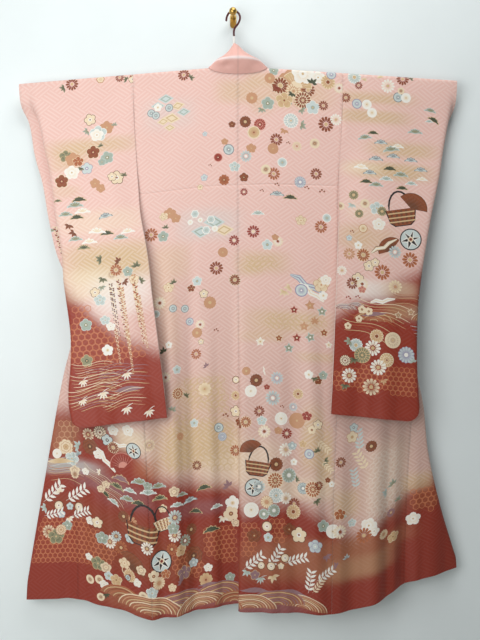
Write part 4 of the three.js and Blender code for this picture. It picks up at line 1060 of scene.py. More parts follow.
sleeveMotifs = {
    -1: [
        ("leaves", -208, 24, 33, 150, "olive"), ("openMum", -184, 16, 39, 0, "rust"),
        ("leaves", -18, 16, 27, 100, "olive"), ("plum", -2, 16, 24, 10, "outline"),
        ("berries", 0, 8, 21, 0, "rust"), ("hexagon", -98, 8, 27, 0, "gold"),
        ("openMum", -40, 8, 27, 0, "rust"), ("plum", -132, 128, 36, 20, "outline"),
        ("leaves", -140, 160, 33, 160, "sage"), ("silhouette", -82, 156, 42, 0, "fawn"),
        ("silhouette", -108, 172, 51, 0, "mist"), ("silhouette", -112, 176, 39, 0, "white"),
        ("leaves", -58, 152, 24, 40, "sage"), ("plum", -124, 228, 42, 0, "rust"),
        ("leaves", -100, 212, 24, 60, "olive"), ("plum", -82, 248, 39, 15, "sage"),
        ("plum", -98, 260, 24, 0, "sage"), ("silhouette", -208, 232, 39, 0, "olive"),
        ("silhouette", -186, 244, 45, 0, "fawn"), ("silhouette", -170, 252, 33, 0, "orange"),
        ("plum", -144, 276, 36, 0, "lilac"), ("leaves", -162, 272, 27, 200, "olive"),
        ("silhouette", -190, 284, 45, 0, "white"), ("leaves", -284, 280, 36, 110, "mist"),
        ("plum", -222, 308, 42, 0, "rust"), ("leaves", -294, 320, 30, 230, "olive"),
        ("plum", -122, 324, 30, 0, "fawn"), ("plum", -106, 340, 27, 30, "fawn"),
        ("plum", -56, 312, 42, 0, "outline"), ("plum", -70, 308, 27, 0, "outline"),
        ("leaves", -34, 308, 27, 40, "olive"), ("pine", -174, 372, 48, 0, "pine"),
        ("pine", -188, 388, 54, 0, "sage"), ("pine", -238, 368, 27, 0, "olive"),
        ("pine", -220, 412, 45, 0, "sage"), ("pine", -168, 408, 51, 0, "white"),
        ("pine", -188, 424, 45, 0, "pine"), ("leaves", -216, 440, 36, 200, "brown"),
        ("pine", -102, 428, 45, 10, "grey"), ("leaves", -204, 464, 39, 160, "brown"),
        ("pine", -108, 480, 45, 0, "pine"), ("pine", -136, 472, 54, -4, "white"),
        ("pine", -70, 496, 45, 0, "sage"), ("pine", -46, 480, 45, 6, "white"),
        ("pine", -204, 488, 45, 0, "sage"), ("pine", -184, 516, 45, 0, "olive"),
        ("pine", -164, 500, 48, 0, "white"), ("pine", -342, 444, 30, 0, "sage"),
        ("openMum", -112, 600, 30, 0, "cream"), ("openMum", -98, 588, 36, 0, "orange"),
        ("leaves", -138, 552, 39, 120, "olive"), ("leaves", -86, 564, 36, 90, "brown"),
        ("leaves", -36, 584, 39, 50, "olive"), ("plum", -64, 596, 30, 0, "sage"),
        ("plum", -48, 620, 30, 0, "gold"), ("leaves", -140, 608, 36, 200, "olive"),
        ("leaves", -78, 624, 33, 270, "brown"), ("leaves", -30, 628, 33, -30, "olive"),
        ("leaves", -146, 632, 30, 230, "sage"), ("wisteria", -118, 692, 126, 0, "outline"),
        ("wisteria", -112, 712, 138, 2, "outline"), ("wisteria", -92, 704, 174, 1, "rust"),
        ("wisteria", -84, 728, 168, 2, "gold"), ("wisteria", -48, 684, 150, 1, "gold"),
        ("wisteria", -44, 720, 180, 2, "orange"), ("wisteria", -36, 748, 150, 3, "gold"),
        ("wisteria", -84, 832, 126, 1, "gold"), ("wisteria", -118, 812, 102, 1, "orange"),
        ("wisteria", -328, 508, 150, 2, "rust"), ("wisteria", -270, 508, 162, 2, "orange"),
        ("plum", -166, 648, 30, 0, "outline"), ("silhouette", -154, 672, 36, 0, "mist"),
        ("silhouette", -146, 732, 30, 0, "mist"), ("silhouette", -132, 752, 27, 0, "white"),
        ("plum", -204, 740, 36, 0, "sage"), ("plum", -330, 752, 39, 20, "white"),
        ("cherry", -336, 772, 30, 0, "olive"), ("plum", -266, 748, 24, 0, "white"),
        ("plum", -312, 808, 36, 0, "white"), ("plum", -330, 820, 33, 20, "mist"),
        ("plum", -150, 820, 33, 0, "white"), ("plum", -214, 844, 36, 0, "olive"),
        ("plum", -274, 800, 24, 0, "cream"), ("plum", -286, 784, 27, 10, "white"),
        ("stream", -200, 872, 126, -4, "gold"), ("stream", -158, 888, 144, -2, "mauve"),
        ("waterPool", -322, 916, 66, 2, "mauve"), ("waterPool", -104, 940, 102, 2, "mauve"),
        ("stream", -112, 904, 156, 3, "mauve"), ("stream", -198, 912, 156, -6, "gold"),
        ("stream", -212, 948, 174, 2, "gold"), ("stream", -126, 968, 144, 5, "gold"),
        ("stream", -202, 964, 132, 0, "mauve"), ("bamboo", -232, 900, 42, 10, "white"),
        ("bamboo", -102, 892, 45, 8, "white"), ("bamboo", -178, 940, 48, 5, "white"),
        ("bamboo", -240, 956, 39, 12, "white"), ("bamboo", -114, 992, 48, 6, "white"),
        ("bamboo", -50, 1008, 45, 10, "white"),
    ],
    1: [
        ("mum", 34, 12, 42, 0, "mist"), ("openMum", 48, 36, 24, 0, "rust"),
        ("leaves", 64, 20, 24, 20, "gold"), ("openMum", 136, 32, 42, 0, "white"),
        ("leaves", 114, 8, 27, 60, "gold"), ("openMum", 180, 8, 39, 0, "rust"),
        ("leaves", 204, 8, 24, 10, "olive"), ("openMum", 10, 76, 30, 0, "rust"),
        ("roundel", 44, 92, 30, 20, "lilac"), ("roundel", 74, 92, 30, 40, "white"),
        ("roundel", 90, 116, 30, 40, "white"), ("roundel", 168, 64, 30, 20, "grey"),
        ("roundel", 192, 64, 30, 0, "white"), ("roundel", 176, 44, 21, 20, "cream"),
        ("pine", 266, 100, 39, -10, "sage"), ("pine", 276, 128, 42, -30, "pine"),
        ("pine", 264, 132, 27, 0, "mist"), ("pine", 94, 180, 36, 0, "pine"),
        ("pine", 70, 196, 45, 10, "sage"), ("pine", 222, 168, 48, 0, "sage"),
        ("pine", 118, 208, 42, 0, "grey"), ("pine", 150, 228, 54, 10, "sage"),
        ("pine", 170, 216, 39, 0, "white"), ("pine", 104, 260, 45, 0, "grey"),
        ("pine", 156, 248, 42, 0, "grey"), ("pine", 210, 256, 42, 0, "grey"),
        ("pine", 146, 288, 45, 0, "pine"), ("pine", 86, 304, 42, 0, "grey"),
        ("pine", 60, 288, 45, -5, "white"), ("pine", 240, 284, 42, 0, "grey"),
        ("pine", 76, 332, 42, 0, "pine"), ("pine", 136, 320, 45, 0, "mist"),
        ("pine", 180, 304, 48, 0, "sage"), ("pine", 106, 340, 45, 0, "sage"),
        ("pine", 212, 328, 39, 0, "mist"), ("pine", 184, 344, 39, 0, "pine"),
        ("pine", 244, 312, 36, 0, "white"), ("mum", 40, 372, 30, 0, "olive"),
        ("roundel", 74, 396, 27, 0, "cream"), ("leaves", 36, 400, 33, 200, "mist"),
        ("mum", 58, 428, 27, 0, "olive"), ("silhouette", 110, 408, 42, 0, "mist"),
        ("mum", 126, 416, 30, 0, "olive"), ("roundel", 72, 472, 27, 0, "gold"),
        ("berries", 40, 484, 15, 0, "brown"), ("silhouette", 118, 456, 39, 0, "white"),
        ("roundel", 2, 408, 24, 0, "cream"), ("ball", 216, 494, 66, 0, "ink"),
        ("basket", 182, 408, 114, 12, "brown"), ("fan", 222, 384, 78, -25, "brown"),
        ("fan", 150, 520, 66, 40, "brown"), ("ribbon", 136, 520, 78, 60, "outline"),
        ("openMum", 170, 536, 39, 0, "grey"), ("openMum", 216, 556, 48, 0, "orange"),
        ("openMum", 134, 600, 48, 0, "orange"), ("mum", 76, 552, 42, 0, "orange"),
        ("openMum", 34, 552, 36, 0, "fawn"), ("openMum", 14, 604, 30, 0, "white"),
        ("plum", 94, 584, 33, 0, "outline"), ("plum", 112, 572, 27, 0, "outline"),
        ("plum", 62, 624, 36, 0, "outline"), ("openMum", 46, 640, 36, 0, "rust"),
        ("openMum", 76, 640, 36, 0, "outline"), ("silhouette", 76, 656, 24, 0, "rose"),
        ("plum", 60, 524, 24, 0, "white"), ("plum", 32, 504, 18, 0, "lilac"),
        ("openMum", 174, 640, 42, 0, "gold"), ("openMum", 280, 588, 30, 0, "rust"),
        ("ribbon", 334, 576, 78, -60, "white"), ("ribbon", 138, 684, 66, 40, "white"),
        ("berries", 36, 684, 18, 0, "red"), ("berries", 64, 680, 18, 0, "red"),
        ("waveHill", 28, 720, 66, 0, "lilac"), ("waveHill", 60, 708, 48, 0, "lilac"),
        ("waveHill", 286, 736, 120, 0, "gold"), ("waveHill", 114, 748, 120, 0, "orange"),
        ("waveHill", 334, 744, 132, 0, "lilac"), ("stream", 142, 720, 168, -10, "gold"),
        ("stream", 300, 764, 150, 8, "lilac"), ("stream", 92, 764, 168, -14, "orange"),
        ("waterPool", 114, 728, 78, 10, "mauve"), ("waterPool", 278, 760, 72, 10, "mauve"),
        ("stream", 214, 676, 102, -8, "orange"), ("plum", 78, 716, 24, 0, "cream"),
        ("plum", 98, 720, 24, 20, "cream"), ("plum", 70, 744, 21, 0, "cream"),
        ("plum", 38, 768, 21, 0, "cream"), ("bellflower", 290, 680, 27, 0, "cream"),
        ("bellflower", 186, 724, 24, 0, "cream"), ("bellflower", 292, 728, 27, 20, "cream"),
        ("bellflower", 224, 712, 24, 0, "cream"), ("mum", 124, 792, 42, 0, "tan"),
        ("doubleMum", 172, 800, 48, 0, "cream"), ("mum", 64, 824, 42, 0, "mist"),
        ("leaves", 46, 812, 39, 160, "sage"), ("openMum", 114, 828, 48, 0, "white"),
        ("doubleMum", 84, 852, 48, 0, "olive"), ("leaves", 60, 864, 39, 210, "olive"),
        ("doubleMum", 34, 872, 33, 0, "outline"), ("doubleMum", 156, 860, 42, 0, "tan"),
        ("leaves", 312, 820, 36, 100, "olive"), ("mum", 214, 840, 51, 0, "lilac"),
        ("openMum", 132, 884, 48, 0, "white"), ("leaves", 342, 884, 39, 300, "olive"),
        ("openMum", 48, 916, 45, 0, "white"), ("leaves", 36, 944, 36, 220, "olive"),
        ("doubleMum", 286, 876, 45, 0, "brown"), ("leaves", 236, 860, 33, 60, "mist"),
        ("openMum", 114, 944, 51, 0, "cream"), ("leaves", 148, 920, 30, 250, "tan"),
        ("leaves", 270, 640, 30, 60, "gold"),
    ],
}
# Where the red begins: places across and their depths
redBorder = {
    "body": (
        (-488, -441, -381, -331, -298, -260, -182, -100, -18, 22,
         78, 126, 196, 276, 318, 370, 418, 477, 517, 605),
        (1048, 1072, 1112, 1152, 1192, 1228, 1248, 1260, 1280, 1340,
         1324, 1308, 1312, 1352, 1400, 1424, 1404, 1356, 1332, 1296),
    ),
    -1: ((-324, -268, -168, -120, -68, -4), (656, 608, 732, 776, 812, 840)),
    1: ((2, 60, 114, 274, 340), (740, 700, 668, 576, 608)),
}
# Mist dyed into the ground: place across, depth, half width, half height, colour, strength
mists = {
    "body": [
        (0, 72, 66, 36, "gold", 0.55), (72, 36, 48, 21, "gold", 0.5), (172, 76, 120, 42, "gold", 0.5),
        (72, 112, 36, 30, "gold", 0.3), (-206, 132, 78, 48, "mist", 0.25), (-90, 472, 96, 48, "mist", 0.35),
        (72, 588, 78, 33, "gold", 0.6), (150, 764, 132, 36, "gold", 0.6), (72, 812, 72, 15, "gold", 0.5),
        (240, 868, 66, 15, "gold", 0.5), (36, 608, 36, 24, "gold", 0.4), (-122, 992, 84, 60, "gold", 0.5),
        (-138, 1136, 138, 78, "gold", 0.8), (-206, 580, 60, 54, "gold", 0.4),
        (-236, 676, 42, 54, "gold", 0.35), (-214, 784, 36, 90, "gold", 0.25),
        (226, 1112, 36, 96, "gold", 0.7), (268, 1180, 24, 90, "gold", 0.7), (46, 1192, 90, 72, "cream", 0.5),
        (192, 1260, 120, 36, "cream", 0.5), (-60, 1220, 78, 48, "cream", 0.4),
        (166, 1480, 150, 60, "earth", 0.8), (196, 1428, 90, 24, "earth", 0.6),
        (-132, 1328, 120, 24, "mauve", 0.35), (-152, 1596, 120, 27, "mauve", 0.5),
        (82, 1612, 132, 21, "mauve", 0.5), (-204, 1468, 102, 72, "rust", 0.5),
        (461, 1256, 72, 120, "cream", 0.4),
        (565, 1300, 54, 30, "gold", 0.6), (337, 1308, 42, 42, "gold", 0.6),
        (358, 1444, 84, 36, "earth", 0.9), (472, 1456, 90, 30, "earth", 0.6),
        (384, 1506, 108, 34, "gold", 0.42), (587, 1364, 48, 30, "rust", 0.5),
        (-563, 1128, 54, 54, "earth", 0.8),
        (-548, 1220, 102, 21, "mist", 0.6), (-449, 1256, 90, 24, "mauve", 0.5),
        (-357, 1288, 90, 36, "mauve", 0.35), (-347, 1112, 54, 36, "cream", 0.8),
        (-300, 1192, 42, 30, "orange", 0.5), (-400, 1424, 120, 90, "rust", 0.5),
        (-371, 1596, 78, 30, "earth", 0.5), (-585, 1336, 102, 30, "rust", 0.4),
    ],
    -1: [
        (-128, 208, 132, 24, "gold", 0.7), (-196, 244, 60, 36, "gold", 0.6),
        (-212, 340, 42, 18, "gold", 0.4), (-122, 440, 132, 36, "cream", 0.45),
        (-108, 564, 150, 60, "gold", 0.9), (-174, 624, 78, 48, "cream", 0.7),
        (-84, 664, 90, 58, "white", 0.6), (-16, 744, 42, 66, "rose", 0.3),
    ],
    1: [
        (96, 72, 120, 18, "gold", 0.7), (90, 128, 114, 21, "gold", 0.75), (182, 224, 102, 24, "gold", 0.75),
        (152, 292, 120, 27, "gold", 0.85), (62, 288, 60, 18, "cream", 0.5), (40, 496, 54, 36, "gold", 0.4),
        (78, 416, 60, 30, "cream", 0.4), (94, 656, 66, 30, "white", 0.6), (100, 504, 78, 42, "gold", 0.5),
        (188, 648, 54, 24, "cream", 0.5), (326, 720, 108, 27, "mauve", 0.6), (204, 712, 60, 24, "gold", 0.4),
    ],
}
# Nets of hexagons: the corners of the area, cell width, line colour and strength
hexagonNets = {
    "body": [
        ([(-565, 1072), (-519, 1076), (-526, 1176), (-598, 1176)], 19, "tan", 0.8),
        ([(-646, 1384), (-500, 1384), (-498, 1512), (-684, 1512)], 16, "copper", 0.85),
        ([(-500, 1396), (-454, 1400), (-400, 1460), (-420, 1504), (-498, 1512)], 16, "copper", 0.85),
        ([(-118, 1384), (-22, 1388), (-24, 1504), (-94, 1488), (-124, 1444)], 16, "copper", 0.85),
        ([(-228, 1452), (-166, 1444), (-118, 1492), (-138, 1536), (-218, 1504)], 16, "copper", 0.85),
        ([(16, 1360), (66, 1364), (62, 1460), (18, 1464)], 16, "copper", 0.85),
        ([(108, 1360), (152, 1360), (152, 1428), (116, 1428)], 16, "copper", 0.85),
        ([(543, 1332), (605, 1316), (634, 1376), (626, 1400), (544, 1396)], 19, "copper", 0.85),
        ([(-170, 928), (-46, 936), (-42, 1044), (-154, 1032)], 21, "gold", 0.6),
        ([(-186, 1032), (-14, 1084), (-18, 1224), (-252, 1192), (-222, 1080)], 21, "gold", 0.6),
        ([(24, 576), (114, 564), (114, 604), (30, 612)], 17, "gold", 0.6),
        ([(72, 752), (258, 736), (264, 772), (90, 792)], 17, "gold", 0.6),
        ([(262, 1052), (280, 1064), (290, 1212), (266, 1204)], 17, "gold", 0.6),
        ([(412, 1176), (496, 1176), (517, 1344), (442, 1376), (399, 1340)], 17, "white", 0.28),
    ],
    -1: [
        ([(-234, 692), (-196, 676), (-174, 736), (-110, 796), (-38, 836), (-46, 848), (-118, 860),
          (-182, 856), (-278, 848)], 19, "copper", 0.8),
    ],
    1: [
        ([(2, 908), (50, 888), (244, 872), (248, 960), (200, 964), (158, 948), (118, 960),
          (52, 952), (6, 964)], 16, "copper", 0.85),
    ],
}


# How the flat cloth is cut, in mm, and how far painted shade darkens the colour along seams and hems
cutting = {
    "sheetAcross": 1.5,
    "sheetAlong": 5.0,
    "sheetFine": 1.0,
    "shoulder": 18,  # half the length that lies fine over the shoulder
    "tuck": (17, 14),  # and beyond the tuck's two ends
    "edge": 9,
    "row": 12,
    "patchStep": 9,
    "besideEdge": (3.4, 1.3),
    "joinWithin": 0.004,
    "seamShade": 0.82,
}


# Sheets: a fine grid of places and facings over a length of cloth, read between its lines
def makeSheet(row, side, across, along, dip):
    place = np.array([row(side, a, across) for a in along])
    facing = facings(place, across, along)
    place = place + facing * dip(*np.meshgrid(across, along))[..., None]
    facing = facings(place, across, along)
    mirror = np.array([side, 1, 1])
    middle = np.array([hung["centre"], 0, hung["shoulderZ"]])
    place = (place * mirror + middle) / 1000
    return {"across": across, "along": along, "place": place, "facing": facing * mirror}


def facings(place, across, along):
    normal = np.cross(np.gradient(place, across, axis=1), np.gradient(place, along, axis=0))
    return normal / np.maximum(np.linalg.norm(normal, axis=-1, keepdims=True), 1e-9)


def onSheet(sheet, points):
    made, weights, spots = [], [], []
    for k, name in enumerate(("across", "along")):
        lines = sheet[name]
        i = np.clip(np.searchsorted(lines, points[:, k]) - 1, 0, len(lines) - 2)
        spots.append(i)
        weights.append(((points[:, k] - lines[i]) / (lines[i + 1] - lines[i]))[:, None])
    (c, r), (u, v) = spots, weights
    for name in ("place", "facing"):
        grid = sheet[name]
        near = blend(grid[r, c], grid[r, c + 1], u)
        far = blend(grid[r + 1, c], grid[r + 1, c + 1], u)
        made.append(blend(near, far, v))
    return made[0], made[1] / np.maximum(np.linalg.norm(made[1], axis=1, keepdims=True), 1e-9)


# Shares of a length that lie closer together round its spots
def crowdedShares(count, length, spots, reach, crowding):
    parts = 240
    x = (np.arange(parts) + 0.5) / parts * length
    crowd = 1 + crowding * sum(np.exp(-(((x - spot) / reach) ** 2)) for spot in spots)
    total = np.concatenate([[0], np.cumsum(crowd)])
    return np.interp(np.linspace(0, total[-1], count + 1), total, np.arange(parts + 1) / parts)


def leftTurning(line):
    x, y = np.asarray(line, float).T
    turned = (x * np.roll(y, -1) - y * np.roll(x, -1)).sum() > 0
    return range(len(x)) if turned else range(len(x))[::-1]


# The flat cloth cut into triangles along the edges of its patches of dye: its points, its triangles, the
# topmost patch of each, and which given points each point stands for
def cutFlat(outline, base, patches):
    points, faces = [], []
    for line in (outline, *(item["outline"] for item in patches)):
        faces.append([len(points) + k for k in leftTurning(line)])
        points += map(tuple, line)
    points += map(tuple, base)
    flat = delaunay_2d_cdt([Vector(p) for p in points], [], faces, 0, cutting["joinWithin"], True)
    kept = [(face, max(owners)) for face, owners in zip(flat[2], flat[5]) if 0 in owners]
    faces = np.array([face for face, _ in kept])
    used, faces = np.unique(faces, return_inverse=True)
    spots = np.array([flat[0][k][:] for k in used])
    tops = np.array([top for _, top in kept]) - 1
    return spots, faces.reshape(-1, 3), tops, [flat[3][k] for k in used]


def rimLoop(faces):
    edges = np.concatenate([faces[:, [0, 1]], faces[:, [1, 2]], faces[:, [2, 0]]])
    inner = set(map(tuple, edges[:, ::-1]))
    following = {int(a): int(b) for a, b in edges if (int(a), int(b)) not in inner}
    loop = [next(iter(following))]
    for _ in range(len(following) - 1):
        loop.append(following[loop[-1]])
    return loop


def dyeAt(points, faces, tops, patches, ground):
    colour, cover = ground[faces][..., :3], ground[faces][:, 0, 3]
    if patches:
        dyed = tops >= 0
        which = tops[dyed]
        pick = lambda name: np.array([item[name] for item in patches])[which]
        away = np.linalg.norm(points[faces[dyed]] - pick("root")[:, None], axis=2) / pick("reach")[:, None]
        dye = blend(pick("inner")[:, None], pick("outer")[:, None], ease(0, 1, away)[..., None])
        cover[dyed] = 1 - (1 - cover[dyed]) * (1 - pick("cover"))
        colour[dyed] = blend(colour[dyed], dye, pick("cover")[:, None, None])
    return np.concatenate([colour, np.repeat(cover[:, None, None], 3, 1)], 2)


# One piece of cloth with its lining: a closed wall whose outer skin carries the dye
def makeCloth(piece):
    sheet, side, out, patches = piece["sheet"], piece["side"], piece["out"], piece["patches"]
    points, faces, tops, _ = cutFlat(piece["outline"], piece["base"], patches)
    loop = rimLoop(faces)
    inPoints, inFaces, _, ids = cutFlat(points[loop], piece["base"], [])
    innerOf = {i: k for k, given in enumerate(ids) for i in given if i < len(loop)}
    thick = lambda p: piece["wall"](p)[:, None] / 2000
    place, facing = onSheet(sheet, points)
    inPlace, inFacing = onSheet(sheet, inPoints)
    place = place + out * facing * thick(points)
    inPlace = inPlace - out * inFacing * thick(inPoints)
    verts = np.concatenate([place, inPlace])
    count = len(points)
    innerLoop = [count + innerOf[k] for k in range(len(loop))]
    rims = []
    for k in range(len(loop)):
        n = (k + 1) % len(loop)
        rims.append((loop[n], loop[k], innerLoop[k]))
        rims.append((loop[n], innerLoop[k], innerLoop[n]))
    rims = np.array(rims)
    corners = np.concatenate([faces, inFaces[:, ::-1] + count, rims])
    ground = piece["ground"](points)
    lining = np.append(linear(piece["lining"]), 1)
    dyed = dyeAt(points, faces, tops, patches, ground)
    # Painted shade: the colour darkens at every outline point, along seams, hems and cuffs alike
    shade = np.ones(count)
    shade[loop] = cutting["seamShade"]
    dyed[..., :3] *= shade[faces][..., None]
    colours = np.concatenate(
        [
            dyed,
            np.tile(lining, (len(inFaces), 3, 1)),
            np.repeat(ground[np.minimum(rims[:, 0], count - 1)][:, None], 3, 1),
        ]
    )
    first, second, third = (verts[rims[:, k]] for k in range(3))
    edge = np.cross(second - first, third - first) * out * side
    edge = edge / np.maximum(np.linalg.norm(edge, axis=1, keepdims=True), 1e-12)
    skins = [(out * facing)[faces], (-out * inFacing)[inFaces[:, ::-1]]]
    normals = np.concatenate([*skins, np.repeat(edge[:, None], 3, 1)])
    flatMap = np.concatenate([piece["layout"](points), piece["layout"](inPoints)]) / 1000
    if out * side < 0:
        corners, colours, normals = corners[:, ::-1], colours[:, ::-1], normals[:, ::-1]
    lined = np.concatenate([np.zeros(len(faces)), np.ones(len(inFaces)), np.zeros(len(rims))])
    return addMesh(piece["name"], verts, corners, colours, normals, flatMap, lined)


def addMesh(name, verts, corners, colours, normals, flatMap, lined):
    mesh = bpy.data.meshes.new(name)
    mesh.vertices.add(len(verts))
    mesh.vertices.foreach_set("co", verts.astype(np.float32).ravel())
    mesh.loops.add(corners.size)
    mesh.loops.foreach_set("vertex_index", corners.astype(np.int32).ravel())
    mesh.polygons.add(len(corners))
    mesh.polygons.foreach_set("loop_start", np.arange(0, corners.size, 3, dtype=np.int32))
    mesh.polygons.foreach_set("use_smooth", np.ones(len(corners), bool))
    mesh.polygons.foreach_set("material_index", lined.astype(np.int32))
    mesh.update(calc_edges=True)
    dye = mesh.color_attributes.new("dye", "FLOAT_COLOR", "CORNER")
    dye.data.foreach_set("color", colours.astype(np.float32).ravel())
    flat = mesh.uv_layers.new(name="flatCloth")
    flat.data.foreach_set("uv", flatMap[corners.ravel()].astype(np.float32).ravel())
    mesh.normals_split_custom_set(normals.reshape(-1, 3).astype(np.float32))
    body = bpy.data.objects.new(name, mesh)
    bpy.context.collection.objects.link(body)
    return body


def densified(points, most):
    line = np.array(points, float)
    made = []
    for a, b in zip(line, np.roll(line, -1, 0)):
        count = max(1, int(np.ceil(np.linalg.norm(b - a) / most)))
        made += [a + (b - a) * k / count for k in range(count)]
    return np.array(made)


def onPiece(patches, move, low, high):
    moved = []
    for item in patches:
        line = move(densified(item["outline"], cutting["patchStep"]))
        if (line.max(0) < low).any() or (line.min(0) > high).any():
            continue
        moved.append({**item, "outline": line, "root": move(item["root"][None])[0]})
    return moved


# Points of a row across the flat cloth, crowded round its folds
def rowBase(row, inner, outer, spots, plan, count=None):
    span = outer - inner
    crowding = plan["crowding"] * ease(*plan["from"], depthOf(row))
    spots = [s - inner for s in spots]
    shares = crowdedShares(count or plan["count"], span, spots, plan["reach"], crowding)[1:-1]
    near, nearer = cutting["besideEdge"]
    ends = [inner + nearer, inner + near], [outer - near, outer - nearer]
    across = np.concatenate([ends[0], inner + span * shares, ends[1]])
    across = across[(across > inner + 1) & (across < outer - 1)]
    return np.stack([across, np.full(len(across), row)], 1)

# How far a sleeve's loose edge laps over the side seam below the armhole
sleeveLap = {"wide": 5.5, "from": (90, 290), "to": (470, 330)}
# The blind tuck across the back
tuck = {"across": (-320, 320), "depth": (368, 344), "deep": 1.1, "reach": 2.4}
seamGroove = {"body": 0.9, "sleeve": 0.8, "wide": 2.2}
# Ground colours: the pink darkens from high to low down the length, partly in its dye and partly as painted
# shade; the red grows a little darker towards the hem
groundDyesAndShade = {
    "high": (230, 188, 176),
    "low": (206, 167, 153),
    "lowFrom": (350, 1350),
    "red": (148, 54, 37),
    "redLow": (142, 51, 35),
    "redLowFrom": (900, 1600),
    "border": (-42, 36),
}
collarPink = (230, 178, 166)
liningWhite = (238, 226, 218)


# Points of a row: how many, how far they crowd round a fold, how strongly and from which depths
rowPlans = {
    "back": {"count": 38, "reach": 3.4 * bends["pleat"], "crowding": 3.5, "from": (700, 1100)},
    "front": {"count": 34, "reach": 2.2 * bends["wing"], "crowding": 7, "from": (215, 360)},
    "sleeve": {"count": 40, "reach": 14, "crowding": 9, "from": (60, 215)},
}


def groundColour(place, depth, which):
    dye = lambda name: linear(groundDyesAndShade[name])
    fade = lambda name, at: ease(*groundDyesAndShade[name], at)[:, None]
    # The pink darkens down the length: partly dye, partly painted shade
    colour = blend(dye("high"), dye("low"), fade("lowFrom", depth))
    red = blend(dye("red"), dye("redLow"), fade("redLowFrom", depth))
    redness = fade("border", depth - np.interp(place, *redBorder[which]))
    colour = blend(colour, red, redness)
    for x, z, wide, tall, name, strength in mists[which]:
        mist = strength * np.exp(-(((place - x) / wide) ** 4) - ((depth - z) / tall) ** 4)
        colour = blend(colour, linear(dyes[name]), mist[:, None])
    return np.concatenate([colour, redness], 1)


def backWidth(side, depth):
    return smoothRead(backFall[side], "width", depth)


def depths(along):
    return hung["foldRadius"] + np.maximum(0, np.abs(along) - overHalf)


# From the flat cloth of one panel to the layout of the motifs: place across from the centre seam, and depth
def bodyLayout(side):
    def lay(points):
        across, along = points.T
        depth = depths(along)
        x = backWidth(side, depth) + np.where(along < 0, -across, across)
        return np.stack([side * x, depth], 1)

    return lay


# From the layout of the motifs to the flat cloth, for the back, the front and a sleeve
def backMove(side):
    return lambda p: np.stack([backWidth(side, p[:, 1]) - side * p[:, 0], -alongOf(p[:, 1])], 1)


def frontMove(side):
    return lambda p: np.stack([side * p[:, 0] - backWidth(side, p[:, 1]), alongOf(p[:, 1])], 1)


def sleeveMove(side, layer):
    return lambda p: np.stack([side * p[:, 0], layer * alongOf(p[:, 1])], 1)


# The cloth's wall, thicker at its rolled hems
def hemWall(points, long, wall, thicker=0.8, reach=7):
    return wall * (1 + thicker * np.exp(-(((long - np.abs(points[:, 1])) / reach) ** 2)))


# A body panel's edge away from its sleeve: up the centre seam of the back, round the neck, down the front
def farEdge(side, along):
    gap, depth = cut["seamGap"], depthOf(along)
    if along >= 0:
        return (frontWidth(depth) if depth < cut["overlapTip"] else cut["front"]) - gap
    neckAlong = alongOf(cut["neckDip"])
    share = min(1, -along / neckAlong)
    return backCut(side, depth)[0] - max(cut["neck"] * math.sqrt(1 - share**2), gap)


def steps(low, high, step=cutting["edge"]):
    count = max(1, round(abs(high - low) / step))
    return [low + (high - low) * k / count for k in range(count + 1)]


# Rows along a length that runs over the shoulder, closer at the shoulder and at both hems
def rowsAlong(long, first):
    row = cutting["row"]
    middle = [*steps(first - long, -2 * row, row), *steps(-20, 20, 4), *steps(2 * row, long - first, row)]
    return [1.6 - long, 4 - long, *middle, long - 4, long - 1.6]


# Lines of a sheet from the shoulder down its front: fine, then coarse
def frontLines(long):
    start = cutting["shoulder"]
    return [np.arange(-start, start, cutting["sheetFine"]), np.arange(start, long + 6, cutting["sheetAlong"])]


def groove(away):
    return np.exp(-((away / seamGroove["wide"]) ** 2))


def tuckDepth(side, across, depth):
    return np.interp(side * (backWidth(side, depth) - across), tuck["across"], tuck["depth"])


def foldOf(side, a):
    return float(smoothRead(wingFall[side], "fold", depthOf(a)))


bodyPatches = [item for net in hexagonNets["body"] for item in hexagonNet(*net)] + layOut(bodyMotifs)
print("motifs of the body drawn:", len(bodyPatches), "patches")


